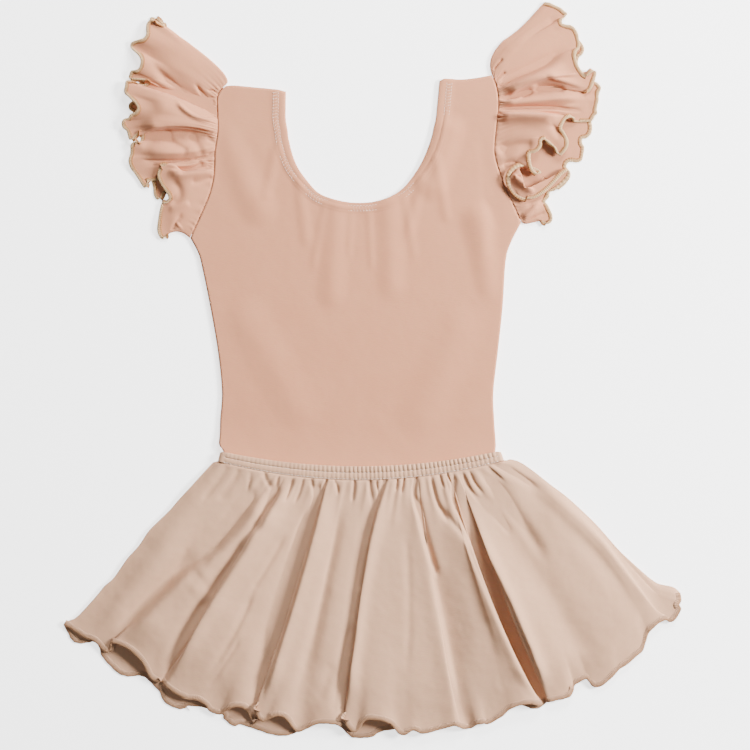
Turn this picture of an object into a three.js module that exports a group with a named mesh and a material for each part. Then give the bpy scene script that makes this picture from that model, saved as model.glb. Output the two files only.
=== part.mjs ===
// A toddler's short-sleeve leotard with a gathered skirt, laid flat on its back.
// Millimetres. +X is the picture's right, +Y points to the neck, +Z up from the surface it rests on.
// Every piece of cloth is a thin closed wall built on its middle surface.

import * as THREE from 'three';

// Driving dimensions
const CLOTH = 1;                    // jersey, thicker than life so that it makes a sound wall
const HALF = CLOTH / 2;
const GAP = 0.3;                    // clear space between neighbouring pieces and layers
const LAYER = CLOTH + GAP;
const BACK_Z = HALF;                // middle of the layer that rests on the surface
const FRONT_Z = BACK_Z + LAYER;     // middle of the layer laid on it
const BAND_THICK = 1.8;
const BAND_FRONT_Z = 5.6;
const BAND_BACK_Z = BAND_THICK / 2;
const BAND_RIBS = 65;
const BAND_RIB_RAISE = 0.35;
const WAIST_CENTRE_X = -10;
const WAIST_HALF_WIDTH = 112;
const WAIST_SAG = 13.5;             // the waist hangs this much lower in the middle than at its ends
const WAIST_Y = -83.2;
const SKIRT_OVER_Z = 4.4;           // lowest middle of the skirt's front where the leotard is under it
const NECK_HEM_WIDTH = 10;
const NECK_HEM_RAISE = 0.5;
const BACK_NECK_DROP = 5;           // the back's neckline is cut this much lower
const SEAM = 0.5;                   // from the armhole's edge to the sleeve's root
const BOX_CENTRE = { x: 0.46, y: -1.3 };   // the whole is moved to stand centred on the origin
const ACROSS_PANEL = 24;
const UP_ARMHOLE = 8;

const PINK = 0xe3c6b6;
const BEIGE = 0xd9c6b6;

// Small helpers

function clamp(value) {
  return Math.min(1, Math.max(0, value));
}

function mix(a, b, share) {
  return a + (b - a) * share;
}

function smooth(low, high, value) {
  const t = clamp((value - low) / (high - low));
  return t * t * (3 - 2 * t);
}

function table(columns, rows) {
  return rows.map((row) => Object.fromEntries(columns.map((column, k) => [column, row[k]])));
}

// A table's row at a fractional row number, on a smooth curve through the rows
function rowAt(rows, place) {
  const last = rows.length - 1;
  const k = Math.min(last - 1, Math.floor(place));
  const t = place - k;
  const before = rows[Math.max(0, k - 1)];
  const after = rows[Math.min(last, k + 2)];
  const made = {};
  for (const key of Object.keys(rows[0])) {
    const a = rows[k][key];
    const b = rows[k + 1][key];
    const m0 = (b - before[key]) / 2;
    const m1 = (after[key] - a) / 2;
    made[key] = a + t * (m0 + t * (3 * (b - a) - 2 * m0 - m1 + t * (2 * (a - b) + m0 + m1)));
  }
  return made;
}

// A table's row at a value of one of its columns, straight between rows
function rowBy(rows, key, value) {
  const last = rows.length - 1;
  let k = 0;
  while (k < last - 1 && value > rows[k + 1][key]) {
    k += 1;
  }
  const share = clamp((value - rows[k][key]) / (rows[k + 1][key] - rows[k][key]));
  const made = {};
  for (const name of Object.keys(rows[0])) {
    made[name] = mix(rows[k][name], rows[k + 1][name], share);
  }
  return made;
}

// The point at a share of a line's length
function pointOn(line, share) {
  const steps = line.slice(1).map((point, k) => Math.hypot(point.x - line[k].x, point.y - line[k].y));
  let left = clamp(share) * steps.reduce((sum, step) => sum + step, 0);
  for (let k = 0; k < steps.length; k += 1) {
    if (left <= steps[k] || k === steps.length - 1) {
      const t = Math.min(1, left / steps[k]);
      return { x: mix(line[k].x, line[k + 1].x, t), y: mix(line[k].y, line[k + 1].y, t) };
    }
    left -= steps[k];
  }
  return line[0];
}

// The cloth wall: rows of middle points, moved half the thickness each way, closed round the rim.
// A looped wall joins its last column to its first. The raise is added to the outer side alone.
function clothWall(rows, options) {
  const { half = HALF, loop = false, raise = () => 0 } = options;
  const high = rows.length;
  const wide = rows[0].length;
  const positions = [];
  const at = (j, i) => rows[j][i];
  const step = (i, by) => (loop ? (i + by + wide) % wide : Math.min(wide - 1, Math.max(0, i + by)));
  const outer = [];
  const inner = [];
  for (let j = 0; j < high; j += 1) {
    for (let i = 0; i < wide; i += 1) {
      const across = at(j, step(i, 1)).clone().sub(at(j, step(i, -1)));
      const along = at(Math.min(high - 1, j + 1), i).clone().sub(at(Math.max(0, j - 1), i));
      const normal = across.cross(along).normalize();
      outer.push(at(j, i).clone().addScaledVector(normal, half + raise(j, i)));
      inner.push(at(j, i).clone().addScaledVector(normal, -half));
    }
  }
  const offset = outer.length;
  for (const point of [...outer, ...inner]) {
    positions.push(point.x, point.y, point.z);
  }
  const index = [];
  const quad = (a, b, c, d, short) => {
    if (short) {
      index.push(a, b, c, a, c, d);
    } else {
      index.push(a, b, d, b, c, d);
    }
  };
  const columns = loop ? wide : wide - 1;
  for (let j = 0; j < high - 1; j += 1) {
    for (let i = 0; i < columns; i += 1) {
      const next = (i + 1) % wide;
      const a = j * wide + i;
      const b = j * wide + next;
      const c = (j + 1) * wide + next;
      const d = (j + 1) * wide + i;
      const short = at(j, i).distanceTo(at(j + 1, next)) <= at(j, next).distanceTo(at(j + 1, i));
      quad(a, b, c, d, short);
      quad(d + offset, c + offset, b + offset, a + offset, !short);
    }
  }
  for (let i = 0; i < columns; i += 1) {
    const next = (i + 1) % wide;
    const top = (high - 1) * wide;
    quad(i + offset, next + offset, next, i, true);
    quad(top + i, top + next, top + next + offset, top + i + offset, true);
  }
  if (!loop) {
    for (let j = 0; j < high - 1; j += 1) {
      const a = j * wide;
      const b = (j + 1) * wide;
      const end = wide - 1;
      quad(a, b, b + offset, a + offset, true);
      quad(b + end, a + end, a + end + offset, b + end + offset, true);
    }
  }
  const geometry = new THREE.BufferGeometry();
  geometry.setAttribute('position', new THREE.Float32BufferAttribute(positions, 3));
  geometry.setIndex(index);
  geometry.computeVertexNormals();
  return geometry;
}

// The leotard's front and back panels

// Sections of both panels from the crotch up to the underarms: each side's point,
// how far the section hangs below a straight line, and how high it lies over what is under it
const SECTIONS = table(['leftX', 'leftY', 'rightX', 'rightY', 'dip', 'rise'], [
  [-41, -254, 19, -254, 0, 1.3],
  [-44, -236, 22, -236, 0, 1.3],
  [-62, -207, 40, -207, 0, 1.3],
  [-96, -172, 74, -172, 0, 1.3],
  [-127, -142, 105, -142, 4, 1.3],
  [-127, -118, 105, -118, 8, 1.3],
  [-122, -97, 101, -97, 11, 1.3],
  [-116.5, -82, 96.5, -82, 13.5, 2.1],
  [-117, -63, 97, -63, 13.5, 2.1],
  [-120.8, -54, 98.4, -54, 12.5, 1.2],
  [-121, -40, 98, -40, 9, 0],
  [-119.6, -18, 97.4, -18, 4, 0],
  [-122.6, 14, 100.2, 14, 0, 0],
  [-129, 50, 104, 50, 0, 0],
  [-136, 82, 106.5, 84, 0, 0],
  [-144.9, 104.8, 119.6, 117.2, 0, 0],
]);

// The top edge of a panel by its share across: left shoulder, neck, right shoulder
const TOP_EDGE = table(['share', 'x', 'y'], [
  [0, -116.4, 227.2],
  [1 / 24, -109, 228],
  [2 / 24, -92, 225.6],
  [3 / 24, -75, 223],
  [4 / 24, -68.6, 220],
  [5 / 24, -68.8, 200],
  [6 / 24, -65, 178],
  [7 / 24, -60, 163],
  [8 / 24, -52, 151],
  [9 / 24, -42, 141.5],
  [10 / 24, -31, 136.5],
  [11 / 24, -20, 133.5],
  [12 / 24, -8.4, 132.4],
  [13 / 24, 4, 134],
  [14 / 24, 15, 138.5],
  [15 / 24, 25, 145],
  [16 / 24, 34, 156],
  [17 / 24, 41, 167],
  [18 / 24, 47, 182],
  [19 / 24, 51.5, 200],
  [20 / 24, 54.8, 228.5],
  [21 / 24, 58, 232],
  [22 / 24, 71, 232],
  [23 / 24, 84, 233.5],
  [1, 96.1, 235.5],
]);

// The armholes from the shoulder down to the underarm
const LEFT_ARMHOLE = table(['x', 'y'], [
  [-116.4, 227.2],
  [-122.8, 219],
  [-122.9, 206],
  [-122.8, 190],
  [-125, 175],
  [-125.4, 163],
  [-126.6, 151],
  [-130, 138.4],
  [-136.4, 123.2],
  [-144.9, 104.8],
]);
const RIGHT_ARMHOLE = table(['x', 'y'], [
  [96.1, 235.5],
  [99.4, 227],
  [101, 218],
  [101.2, 209],
  [100.2, 200],
  [98.2, 180],
  [98.6, 170.4],
  [101.8, 158.6],
  [106.8, 145.6],
  [113.2, 131.5],
  [119.6, 117.2],
]);

// The seam of panel and sleeve, as the few straight steps that both of them follow
function armholeSteps(line) {
  return Array.from({ length: UP_ARMHOLE + 1 }, (_, k) => pointOn(line, k / UP_ARMHOLE));
}
const LEFT_SEAM = armholeSteps(LEFT_ARMHOLE);
const RIGHT_SEAM = armholeSteps(RIGHT_ARMHOLE);

function sectionPoint(section, share) {
  const bow = 1 - 4 * share * (1 - share);
  const x = mix(section.leftX, section.rightX, share);
  const y = mix(section.leftY, section.rightY, share) - section.dip * (1 - bow);
  return new THREE.Vector3(x, y, section.rise);
}

function topEdgePoint(share, drop) {
  const edge = rowBy(TOP_EDGE, 'share', share);
  const inNeck = smooth(3.5 / 24, 8 / 24, share) * smooth(3.5 / 24, 8 / 24, 1 - share);
  return new THREE.Vector3(edge.x, edge.y - drop * inNeck, 0);
}

// Between the underarm section, the two armholes and the top edge
function chestPoint(share, up, drop) {
  const underarm = SECTIONS[SECTIONS.length - 1];
  const low = sectionPoint(underarm, share);
  const high = topEdgePoint(share, drop);
  const left = LEFT_SEAM[Math.round((1 - up) * UP_ARMHOLE)];
  const right = RIGHT_SEAM[Math.round((1 - up) * UP_ARMHOLE)];
  const straight = (from, to) => ({ x: mix(from.x, to.x, up), y: mix(from.y, to.y, up) });
  const leftLine = straight(sectionPoint(underarm, 0), topEdgePoint(0, drop));
  const rightLine = straight(sectionPoint(underarm, 1), topEdgePoint(1, drop));
  const x = mix(low.x, high.x, up) + (1 - share) * (left.x - leftLine.x) + share * (right.x - rightLine.x);
  const y = mix(low.y, high.y, up) + (1 - share) * (left.y - leftLine.y) + share * (right.y - rightLine.y);
  return new THREE.Vector3(x, y, 0);
}

function neckDistance(point) {
  let nearest = 1000;
  for (let k = 4; k < 20; k += 1) {
    for (const t of [0, 0.25, 0.5, 0.75]) {
      const x = mix(TOP_EDGE[k].x, TOP_EDGE[k + 1].x, t);
      const y = mix(TOP_EDGE[k].y, TOP_EDGE[k + 1].y, t);
      nearest = Math.min(nearest, Math.hypot(point.x - x, point.y - y));
    }
  }
  return nearest;
}

// Soft folds of the worn cloth on the front: a line, how far its sides reach, and its lift
const CHEST_FOLDS = table(['fromX', 'fromY', 'toX', 'toY', 'reach', 'lift'], [
  [62, 190, 48, 148, 16, 2.2],
  [86, 120, 98, 70, 18, 2.4],
  [-118, 180, -90, 128, 18, 1.6],
  [-28, 128, -32, 60, 14, 1.2],
  [14, 132, 16, 66, 14, 1.2],
  [-100, 40, -60, -30, 22, 1.6],
  [70, 30, 40, -36, 24, 1.6],
]);

function chestLift(point) {
  let lift = 0;
  for (const fold of CHEST_FOLDS) {
    const dx = fold.toX - fold.fromX;
    const dy = fold.toY - fold.fromY;
    const share = clamp(((point.x - fold.fromX) * dx + (point.y - fold.fromY) * dy) / (dx * dx + dy * dy));
    const away = Math.hypot(point.x - mix(fold.fromX, fold.toX, share), point.y - mix(fold.fromY, fold.toY, share));
    lift = Math.max(lift, fold.lift * (1 - smooth(0, fold.reach, away)));
  }
  return lift;
}

function leotardPanel(base, drop, lifted) {
  const rows = [];
  for (const section of SECTIONS) {
    const row = [];
    for (let i = 0; i <= ACROSS_PANEL; i += 1) {
      row.push(sectionPoint(section, i / ACROSS_PANEL));
    }
    rows.push(row);
  }
  for (let j = 1; j <= UP_ARMHOLE; j += 1) {
    const row = [];
    for (let i = 0; i <= ACROSS_PANEL; i += 1) {
      row.push(chestPoint(i / ACROSS_PANEL, j / UP_ARMHOLE, drop));
    }
    rows.push(row);
  }
  for (const row of rows) {
    row.forEach((point, i) => {
      const edge = smooth(0, 0.12, Math.min(i, ACROSS_PANEL - i) / ACROSS_PANEL);
      point.z += base + (lifted ? chestLift(point) * edge : 0);
    });
  }
  const hem = (point) => 1 - smooth(NECK_HEM_WIDTH - 3, NECK_HEM_WIDTH + 3, neckDistance(point));
  const raise = (j, i) => (lifted ? NECK_HEM_RAISE * hem(rows[j][i]) : 0);
  return clothWall(rows, { raise });
}

// The sleeves: each is one flared tube, folded flat along its top, with its front layer in loose folds

// Folds of the left sleeve's front layer from the shoulder down to the underarm:
// share of the armhole, middle and hem place, and the lift near the root, at the middle and at the hem
const SLEEVE_COLUMNS = ['root', 'midX', 'midY', 'hemX', 'hemY', 'upper', 'middle', 'lower'];
const LEFT_SLEEVE_FOLDS = table(SLEEVE_COLUMNS, [
  [0.02, -145, 254, -180, 278, 1, 1.5, 1],
  [0.04, -147, 249, -177, 269, 1.8, 2.6, 2.6],
  [0.065, -150, 243, -183, 263, 2, 3, 1.6],
  [0.09, -152, 238, -192, 260, 2, 3, 0.6],
  [0.115, -153, 233, -184, 251, 1.5, 2, 2.2],
  [0.15, -152, 226, -180, 244, 0.6, 0.8, 1.4],
  [0.165, -155, 224, -186, 239, 1.6, 2.4, 1.6],
  [0.18, -156, 222, -192, 236, 1.6, 2.4, 0.8],
  [0.197, -156, 218, -187, 231, 0.3, 0.3, 0.3],
  [0.21, -157, 216, -191, 230, 3.5, 5.5, 3.2],
  [0.23, -160, 213, -196, 225, 4.5, 7.5, 4.5],
  [0.25, -160, 209, -196, 218, 4.5, 8, 5],
  [0.27, -160, 205, -188, 212, 4.5, 8, 6.5],
  [0.285, -161, 202, -185, 206, 4.5, 7.5, 6.5],
  [0.3, -163, 198, -191, 201, 4.5, 7, 4.5],
  [0.312, -164, 196, -199, 198, 4.2, 6.5, 3.5],
  [0.322, -164, 194, -197, 191, 4, 6, 3.4],
  [0.335, -160, 192, -192, 183, 3.6, 5.2, 3.2],
  [0.348, -159, 190, -188, 182, 0.3, 0.4, 0.3],
  [0.37, -159, 184, -187, 179, 0.3, 0.3, 0.3],
  [0.4, -157, 174, -189, 176, 2.5, 4.5, 3.2],
  [0.43, -158, 170, -192, 171, 2, 3.5, 2.2],
  [0.455, -156, 166, -193, 166, 0.6, 0.8, 1],
  [0.485, -158, 164, -190, 158, 1.5, 2, 1.5],
  [0.51, -159, 162, -183, 148, 1.5, 1.5, 0.6],
  [0.525, -155, 160, -177, 149, 0.6, 0.4, 0.8],
  [0.545, -151, 158, -173, 145, 0.3, 0.3, 0.3],
  [0.565, -148, 156, -167, 144, 3, 4, 4],
  [0.62, -148, 150, -163, 139, 3, 4.6, 3.2],
  [0.7, -150, 141, -168, 130, 2.5, 4, 2],
  [0.79, -152, 131, -170, 119, 2, 3, 1.5],
  [0.87, -154, 122, -168, 106, 1.5, 2, 0.6],
  [0.92, -150, 117, -160, 109, 1, 1.5, 1.6],
  [0.965, -147, 111, -152, 110, 0.6, 0.8, 0.8],
]);
const RIGHT_SLEEVE_FOLDS = table(SLEEVE_COLUMNS, [
  [0.015, 108, 259, 147, 290, 1, 1.5, 1],
  [0.03, 110, 257, 153, 286, 1.8, 2.6, 1.4],
  [0.045, 112, 254, 156, 283, 2, 3, 0.6],
  [0.055, 114, 251, 152, 277, 2, 2.5, 2.6],
  [0.065, 117, 248, 160, 274, 1.5, 2.2, 1.6],
  [0.075, 120, 245, 165, 267, 1.2, 1.5, 1.2],
  [0.085, 124, 242, 169, 257, 0.8, 1, 0.6],
  [0.095, 127, 238, 163, 250, 0.6, 0.8, 2],
  [0.11, 130, 235, 164, 242, 1.6, 2.6, 2.6],
  [0.125, 132, 233, 170, 236, 2.5, 4, 3],
  [0.14, 134, 230, 180, 236, 2.5, 4.5, 2.4],
  [0.15, 136, 227, 178, 230, 2.4, 4.2, 2.4],
  [0.165, 136, 225, 177, 228, 0.3, 0.4, 0.3],
  [0.18, 137, 222, 183, 226, 0.3, 0.5, 0.3],
  [0.195, 138, 219, 183, 222, 1.2, 1.8, 0.8],
  [0.21, 139, 215, 181, 217, 1.4, 2.2, 1.8],
  [0.23, 140, 210, 180, 209, 0.8, 0.8, 1],
  [0.245, 141, 207, 176, 204, 0.5, 0.5, 0.6],
  [0.26, 139, 205, 170, 200, 0.3, 0.3, 0.3],
  [0.275, 136, 203, 162, 200, 3, 5, 3.6],
  [0.3, 134, 201, 161, 196, 3.5, 6, 5.2],
  [0.34, 132, 198, 154, 190, 3.5, 6, 4.6],
  [0.38, 131, 195, 156, 182, 3.5, 6, 3],
  [0.42, 129, 190, 151, 172, 3.5, 5.5, 1.6],
  [0.46, 124, 186, 143, 180, 3.5, 5.5, 4.2],
  [0.5, 119, 182, 136, 181, 3.5, 5.5, 5.4],
  [0.54, 116, 175, 132, 174, 3, 5, 4.2],
  [0.58, 113, 168, 127, 167, 2.5, 4, 2.6],
  [0.615, 115, 163, 130, 162, 0.6, 0.6, 0.4],
  [0.65, 120, 156, 156, 156, 2.5, 2.5, 2.2],
  [0.7, 121, 151, 148, 150, 3.5, 5, 4.8],
  [0.75, 118, 145, 136, 142, 3.5, 5, 5],
  [0.8, 118, 140, 128, 137, 3, 4.5, 4],
  [0.85, 124, 134, 142, 134, 1, 0.8, 0.6],
  [0.89, 126, 130, 140, 130, 1.5, 1.5, 2],
  [0.93, 128, 126, 144, 119, 1.5, 1.5, 0.6],
  [0.97, 126, 121, 136, 118, 1, 1, 1.2],
]);

// The back layer lies flat. Its first and last rows are the two folds that join it to the front layer.
const SLEEVE_BACK_COLUMNS = ['root', 'midX', 'midY', 'hemX', 'hemY'];
const LEFT_SLEEVE_BACK = table(SLEEVE_BACK_COLUMNS, [
  [0, -143, 258, -175, 282],
  [0.1, -151, 244, -184, 262],
  [0.2, -156, 228, -189, 239],
  [0.32, -161, 210, -192, 218],
  [0.44, -163, 191, -193, 198],
  [0.55, -161, 174, -188, 174],
  [0.66, -157, 158, -180, 154],
  [0.78, -153, 142, -172, 136],
  [0.9, -150, 122, -165, 116],
  [1, -147, 104, -150, 104],
]);
const RIGHT_SLEEVE_BACK = table(SLEEVE_BACK_COLUMNS, [
  [0, 105, 262, 140, 292],
  [0.1, 113, 249, 151, 273],
  [0.2, 120, 234, 161, 250],
  [0.3, 127, 223, 173, 228],
  [0.4, 133, 212, 176, 207],
  [0.48, 136, 202, 175, 191],
  [0.56, 135, 191, 168, 182],
  [0.64, 132, 180, 169, 171],
  [0.72, 128, 169, 156, 164],
  [0.8, 127, 154, 158, 153],
  [0.87, 124, 142, 148, 143],
  [0.94, 124, 129, 140, 131],
  [1, 123, 116, 126, 114],
]);
const BACK_STEPS = UP_ARMHOLE * 2;
const SLEEVE_ROWS = [0, 0.12, 0.27, 0.43, 0.6, 0.77, 0.9, 1];

// A smooth curve through values at given stops
function profile(stops, values, v) {
  const last = stops.length - 1;
  let k = 0;
  while (k < last - 1 && v > stops[k + 1]) {
    k += 1;
  }
  const span = stops[k + 1] - stops[k];
  const slope = (n) => {
    const low = Math.max(0, n - 1);
    const high = Math.min(last, n + 1);
    return (values[high] - values[low]) / (stops[high] - stops[low]);
  };
  const t = (v - stops[k]) / span;
  const a = values[k];
  const b = values[k + 1];
  const m0 = slope(k) * span;
  const m1 = slope(k + 1) * span;
  return a + t * (m0 + t * (3 * (b - a) - 2 * m0 - m1 + t * (2 * (a - b) + m0 + m1)));
}

// The place on a fold's line that runs from its root through its middle to its hem
function foldPlace(root, fold, v) {
  const a = (1 - v) * (1 - 2 * v);
  const b = 4 * v * (1 - v);
  const c = v * (2 * v - 1);
  return {
    x: a * root.x + b * fold.midX + c * fold.hemX,
    y: a * root.y + b * fold.midY + c * fold.hemY,
  };
}

function sleeve(seam, side, folds, back) {
  const shoulder = back[0];
  const underarm = back[back.length - 1];
  const rootAt = (share) => {
    const place = pointOn(seam, share);
    const above = pointOn(seam, share - 0.03);
    const below = pointOn(seam, share + 0.03);
    const length = Math.hypot(below.x - above.x, below.y - above.y);
    return {
      x: place.x + (side * SEAM * (above.y - below.y)) / length,
      y: place.y + (side * SEAM * (below.x - above.x)) / length,
    };
  };
  const rows = SLEEVE_ROWS.map((v) => {
    const at = (fold, z) => {
      const place = foldPlace(rootAt(fold.root), fold, v);
      return new THREE.Vector3(place.x, place.y, z);
    };
    const lift = (fold) => profile([0, 0.3, 0.6, 1], [0, fold.upper, fold.middle, fold.lower], v);
    const front = folds.map((fold) => at(fold, FRONT_Z + Math.max(0, lift(fold))));
    const under = Array.from({ length: BACK_STEPS - 1 }, (_, k) => rowBy(back, 'root', 1 - (k + 1) / BACK_STEPS))
      .map((fold) => at(fold, BACK_Z));
    const edge = (FRONT_Z + BACK_Z) / 2;
    const topFold = at(shoulder, edge);
    const lowFold = at(underarm, edge);
    // The point 1.5 mm in from a fold towards a neighbour
    const inFrom = (fold, neighbour, z) => {
      const reach = Math.min(0.45, 1.5 / Math.hypot(neighbour.x - fold.x, neighbour.y - fold.y));
      return new THREE.Vector3(mix(fold.x, neighbour.x, reach), mix(fold.y, neighbour.y, reach), z);
    };
    return [
      topFold,
      inFrom(topFold, front[0], FRONT_Z + 0.1),
      ...front,
      inFrom(lowFold, front[front.length - 1], FRONT_Z + 0.1),
      lowFold,
      inFrom(lowFold, under[0], BACK_Z),
      ...under,
      inFrom(topFold, under[under.length - 1], BACK_Z),
    ];
  });
  if (side < 0) {
    rows.forEach((row) => row.reverse());
  }
  return clothWall(rows, { loop: true });
}

// The waistband: one flattened loop of ribbed elastic casing round the leotard

const BAND_LEFT = { low: -125.8, high: -120.6 };
const BAND_RIGHT = { low: 105, high: 103 };
const BAND_BEND_STEPS = 4;

function waistSag(x) {
  return ((x - WAIST_CENTRE_X) / WAIST_HALF_WIDTH) ** 2;
}

function bandY(x, up) {
  const half = 5.4 - 1.2 * waistSag(x);
  return WAIST_Y + WAIST_SAG * waistSag(x) + mix(-half, half, up);
}

function waistband() {
  const bend = (BAND_FRONT_Z - BAND_BACK_Z) / 2;
  const middle = (BAND_FRONT_Z + BAND_BACK_Z) / 2;
  const ribs = [];
  const rows = [0, 0.5, 1].map((up) => {
    const left = mix(BAND_LEFT.low, BAND_LEFT.high, up) + bend;
    const right = mix(BAND_RIGHT.low, BAND_RIGHT.high, up) - bend;
    const row = [];
    ribs.length = 0;
    const add = (x, z, rib) => {
      row.push(new THREE.Vector3(x, bandY(x, up), z));
      ribs.push(rib);
    };
    for (let k = 0; k <= BAND_RIBS * 2; k += 1) {
      add(mix(left, right, k / (BAND_RIBS * 2)), BAND_FRONT_Z, k % 2);
    }
    for (let k = 1; k < BAND_BEND_STEPS; k += 1) {
      const turn = (Math.PI * k) / BAND_BEND_STEPS;
      add(right + bend * Math.sin(turn), middle + bend * Math.cos(turn), 0);
    }
    for (let k = 20; k >= 0; k -= 1) {
      add(mix(left, right, k / 20), BAND_BACK_Z, 0);
    }
    for (let k = BAND_BEND_STEPS - 1; k > 0; k -= 1) {
      const turn = (Math.PI * k) / BAND_BEND_STEPS;
      add(left - bend * Math.sin(turn), middle + bend * Math.cos(turn), 0);
    }
    return row;
  });
  const raise = (j, i) => BAND_RIB_RAISE * ribs[i];
  return clothWall(rows, { half: BAND_THICK / 2, loop: true, raise });
}

// The skirt's front: gathered at the waist, flaring into deep folds with a wavy hem

// Folds from the left edge to the right: share of the waist, middle and hem place,
// the lift below the waist, at the middle and above the hem, and how far the hem itself curls up
const SKIRT_FOLDS = table(['waist', 'midX', 'midY', 'hemX', 'hemY', 'upper', 'middle', 'lower', 'curl'], [
  [0, -185, -138, -246, -204, 0.4, 0.3, 0.3, 0],
  [0.03, -177, -141, -234, -210, 1, 1.5, 1, 2],
  [0.07, -171, -145, -224, -214, 1.2, 2.2, 1.5, 0],
  [0.1, -165, -150, -216, -223, 1.2, 2.5, 1.2, 0],
  [0.14, -153, -159, -209, -219, 0.8, 0.6, 1.6, 3],
  [0.17, -140, -162, -194, -223, 1.2, 1.5, 2.4, 4],
  [0.2, -135, -167, -180, -238, 1.5, 2.8, 2, 1],
  [0.225, -129, -171, -172, -247, 1.5, 1.8, 1.2, 0],
  [0.235, -126, -173, -168, -250, 0.2, 0.2, 0.2, 0],
  [0.25, -118, -169, -165, -249, 3.2, 5, 3, 0],
  [0.28, -105, -169, -152, -259, 3.2, 5.2, 3.2, 1],
  [0.3, -96, -171, -137, -263, 2.5, 4, 2.5, 1],
  [0.325, -88, -175, -124, -274, 2, 2.8, 1.5, 0],
  [0.345, -80, -178, -108, -269, 1.5, 1.8, 2, 3],
  [0.355, -72, -180, -99, -276, 0.4, 0.8, 0.8, 0],
  [0.368, -68, -182, -96, -285, 0.2, 0.3, 0.4, 0],
  [0.378, -65, -181, -92, -279, 0.2, 0.2, 0.2, 0],
  [0.39, -62, -178, -89, -273, 4, 6, 4, 0],
  [0.405, -55, -178, -88, -279, 4.2, 6.2, 4.4, 0.6],
  [0.43, -44, -181, -72, -275, 3, 4.5, 4, 3.5],
  [0.455, -39, -183, -60, -289, 1.8, 2.6, 1.5, 0],
  [0.48, -31, -185, -47, -279, 2.2, 3.5, 2.6, 3],
  [0.51, -23, -186, -32, -276, 2, 3.2, 2.6, 3],
  [0.535, -17, -186, -26, -278, 1.2, 2, 1.5, 0],
  [0.557, -13, -186, -23, -282, 0.2, 0.2, 0.2, 0],
  [0.575, -9, -184, -19, -281, 4.5, 6.5, 4.5, 0],
  [0.6, -3, -185, -14, -289, 5, 7, 4.2, 0],
  [0.62, 5, -185, 0, -275, 5, 7, 5.6, 3.5],
  [0.64, 13, -185, 12, -278, 5, 7, 5.6, 3],
  [0.655, 22, -185, 26, -290, 5, 7, 4.2, 0],
  [0.67, 32, -185, 38, -287, 5, 7, 4.6, 1],
  [0.685, 41, -185, 52, -287, 5, 6.8, 4.6, 0],
  [0.7, 51, -183, 67, -282, 4.5, 6, 4.6, 1.5],
  [0.708, 52, -186, 75, -286, 0.6, 1, 1.2, 0],
  [0.73, 64, -186, 84, -280, 2, 2.5, 3, 3],
  [0.76, 76, -185, 95, -284, 4, 5.5, 3.4, 0],
  [0.785, 85, -183, 108, -269, 4.5, 6.5, 4.8, 2],
  [0.8, 92, -183, 120, -262, 5, 7, 5, 3],
  [0.81, 100, -186, 135, -266, 4.5, 7, 4.5, 0],
  [0.82, 102, -187, 136, -266, 0.4, 0.2, 0.3, 0],
  [0.83, 109, -187, 140, -266, 0.4, 0.2, 0.3, 0],
  [0.84, 111, -184, 141, -266, 4.2, 7, 4.2, 0],
  [0.857, 118, -182, 151, -263, 4, 6.2, 4, 1],
  [0.875, 128, -182, 159, -259, 2.5, 3.5, 2.5, 0],
  [0.89, 137, -180, 165, -249, 1, 1.5, 2, 2],
  [0.9, 144, -178, 174, -249, 0.8, 1, 0.8, 0],
  [0.92, 156, -175, 181, -254, 2, 3, 1.5, 0],
  [0.935, 167, -170, 196, -241, 2.5, 3.5, 2.2, 1.5],
  [0.95, 176, -162, 208, -234, 2, 2.5, 1.6, 0],
  [0.96, 183, -154, 219, -221, 1.5, 1.5, 1.2, 0],
  [0.97, 187, -148, 223, -208, 2, 2.5, 1.6, 2],
  [0.98, 188, -141, 234, -201, 1.8, 2.5, 1.2, 0],
  [0.99, 185, -133, 243, -198, 1.2, 1.5, 0.8, 0],
  [1, 183, -126, 247, -182, 0.4, 0.3, 0.3, 0],
]);
const SKIRT_ROWS = [0, 0.06, 0.14, 0.24, 0.36, 0.5, 0.64, 0.78, 0.9, 0.96, 1];
const SKIRT_STEPS = 2;

// The leotard's outline at a height, for what has to lie over it
function leotardSides(y) {
  const rows = SECTIONS.map((section) => ({ y: section.leftY, left: section.leftX, right: section.rightX }));
  return rowBy(rows, 'y', y);
}

function overLeotard(x, y) {
  const sides = leotardSides(y);
  const outside = Math.max(sides.left - x, x - sides.right, SECTIONS[0].leftY - y);
  const margin = mix(6, 22, clamp((-75 - y) / 150));
  return 1 - smooth(margin, margin + 30, outside);
}

function skirtRoot(share) {
  const x = mix(-126.8, 105.8, share);
  const nearEnd = 1 - smooth(0, 0.04, Math.min(share, 1 - share));
  return { x, y: bandY(x, 0) - GAP - 0.05 - nearEnd };
}

function skirtFront() {
  const places = Array.from({ length: (SKIRT_FOLDS.length - 1) * SKIRT_STEPS + 1 }, (_, k) => k / SKIRT_STEPS);
  const folds = places.map((place) => rowAt(SKIRT_FOLDS, place));
  const rows = SKIRT_ROWS.map((v) => folds.map((fold) => {
    const share = clamp(fold.waist);
    const place = foldPlace(skirtRoot(share), fold, v);
    const lift = profile([0, 0.25, 0.55, 0.9], [0, fold.upper, fold.middle, fold.lower], Math.min(v, 0.9));
    const curl = Math.max(0, fold.curl) * clamp((v - 0.88) / 0.12) ** 1.5;
    const ground = FRONT_Z + (SKIRT_OVER_Z - FRONT_Z) * overLeotard(place.x, place.y);
    const rootZ = mix(FRONT_Z, BAND_FRONT_Z, smooth(0, 0.03, Math.min(share, 1 - share)));
    const z = mix(rootZ, ground + Math.max(0, lift), smooth(0, 0.2, v)) + curl;
    return new THREE.Vector3(place.x, place.y, z);
  }));
  rows.forEach((row) => row.reverse());
  return clothWall(rows, {});
}

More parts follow.
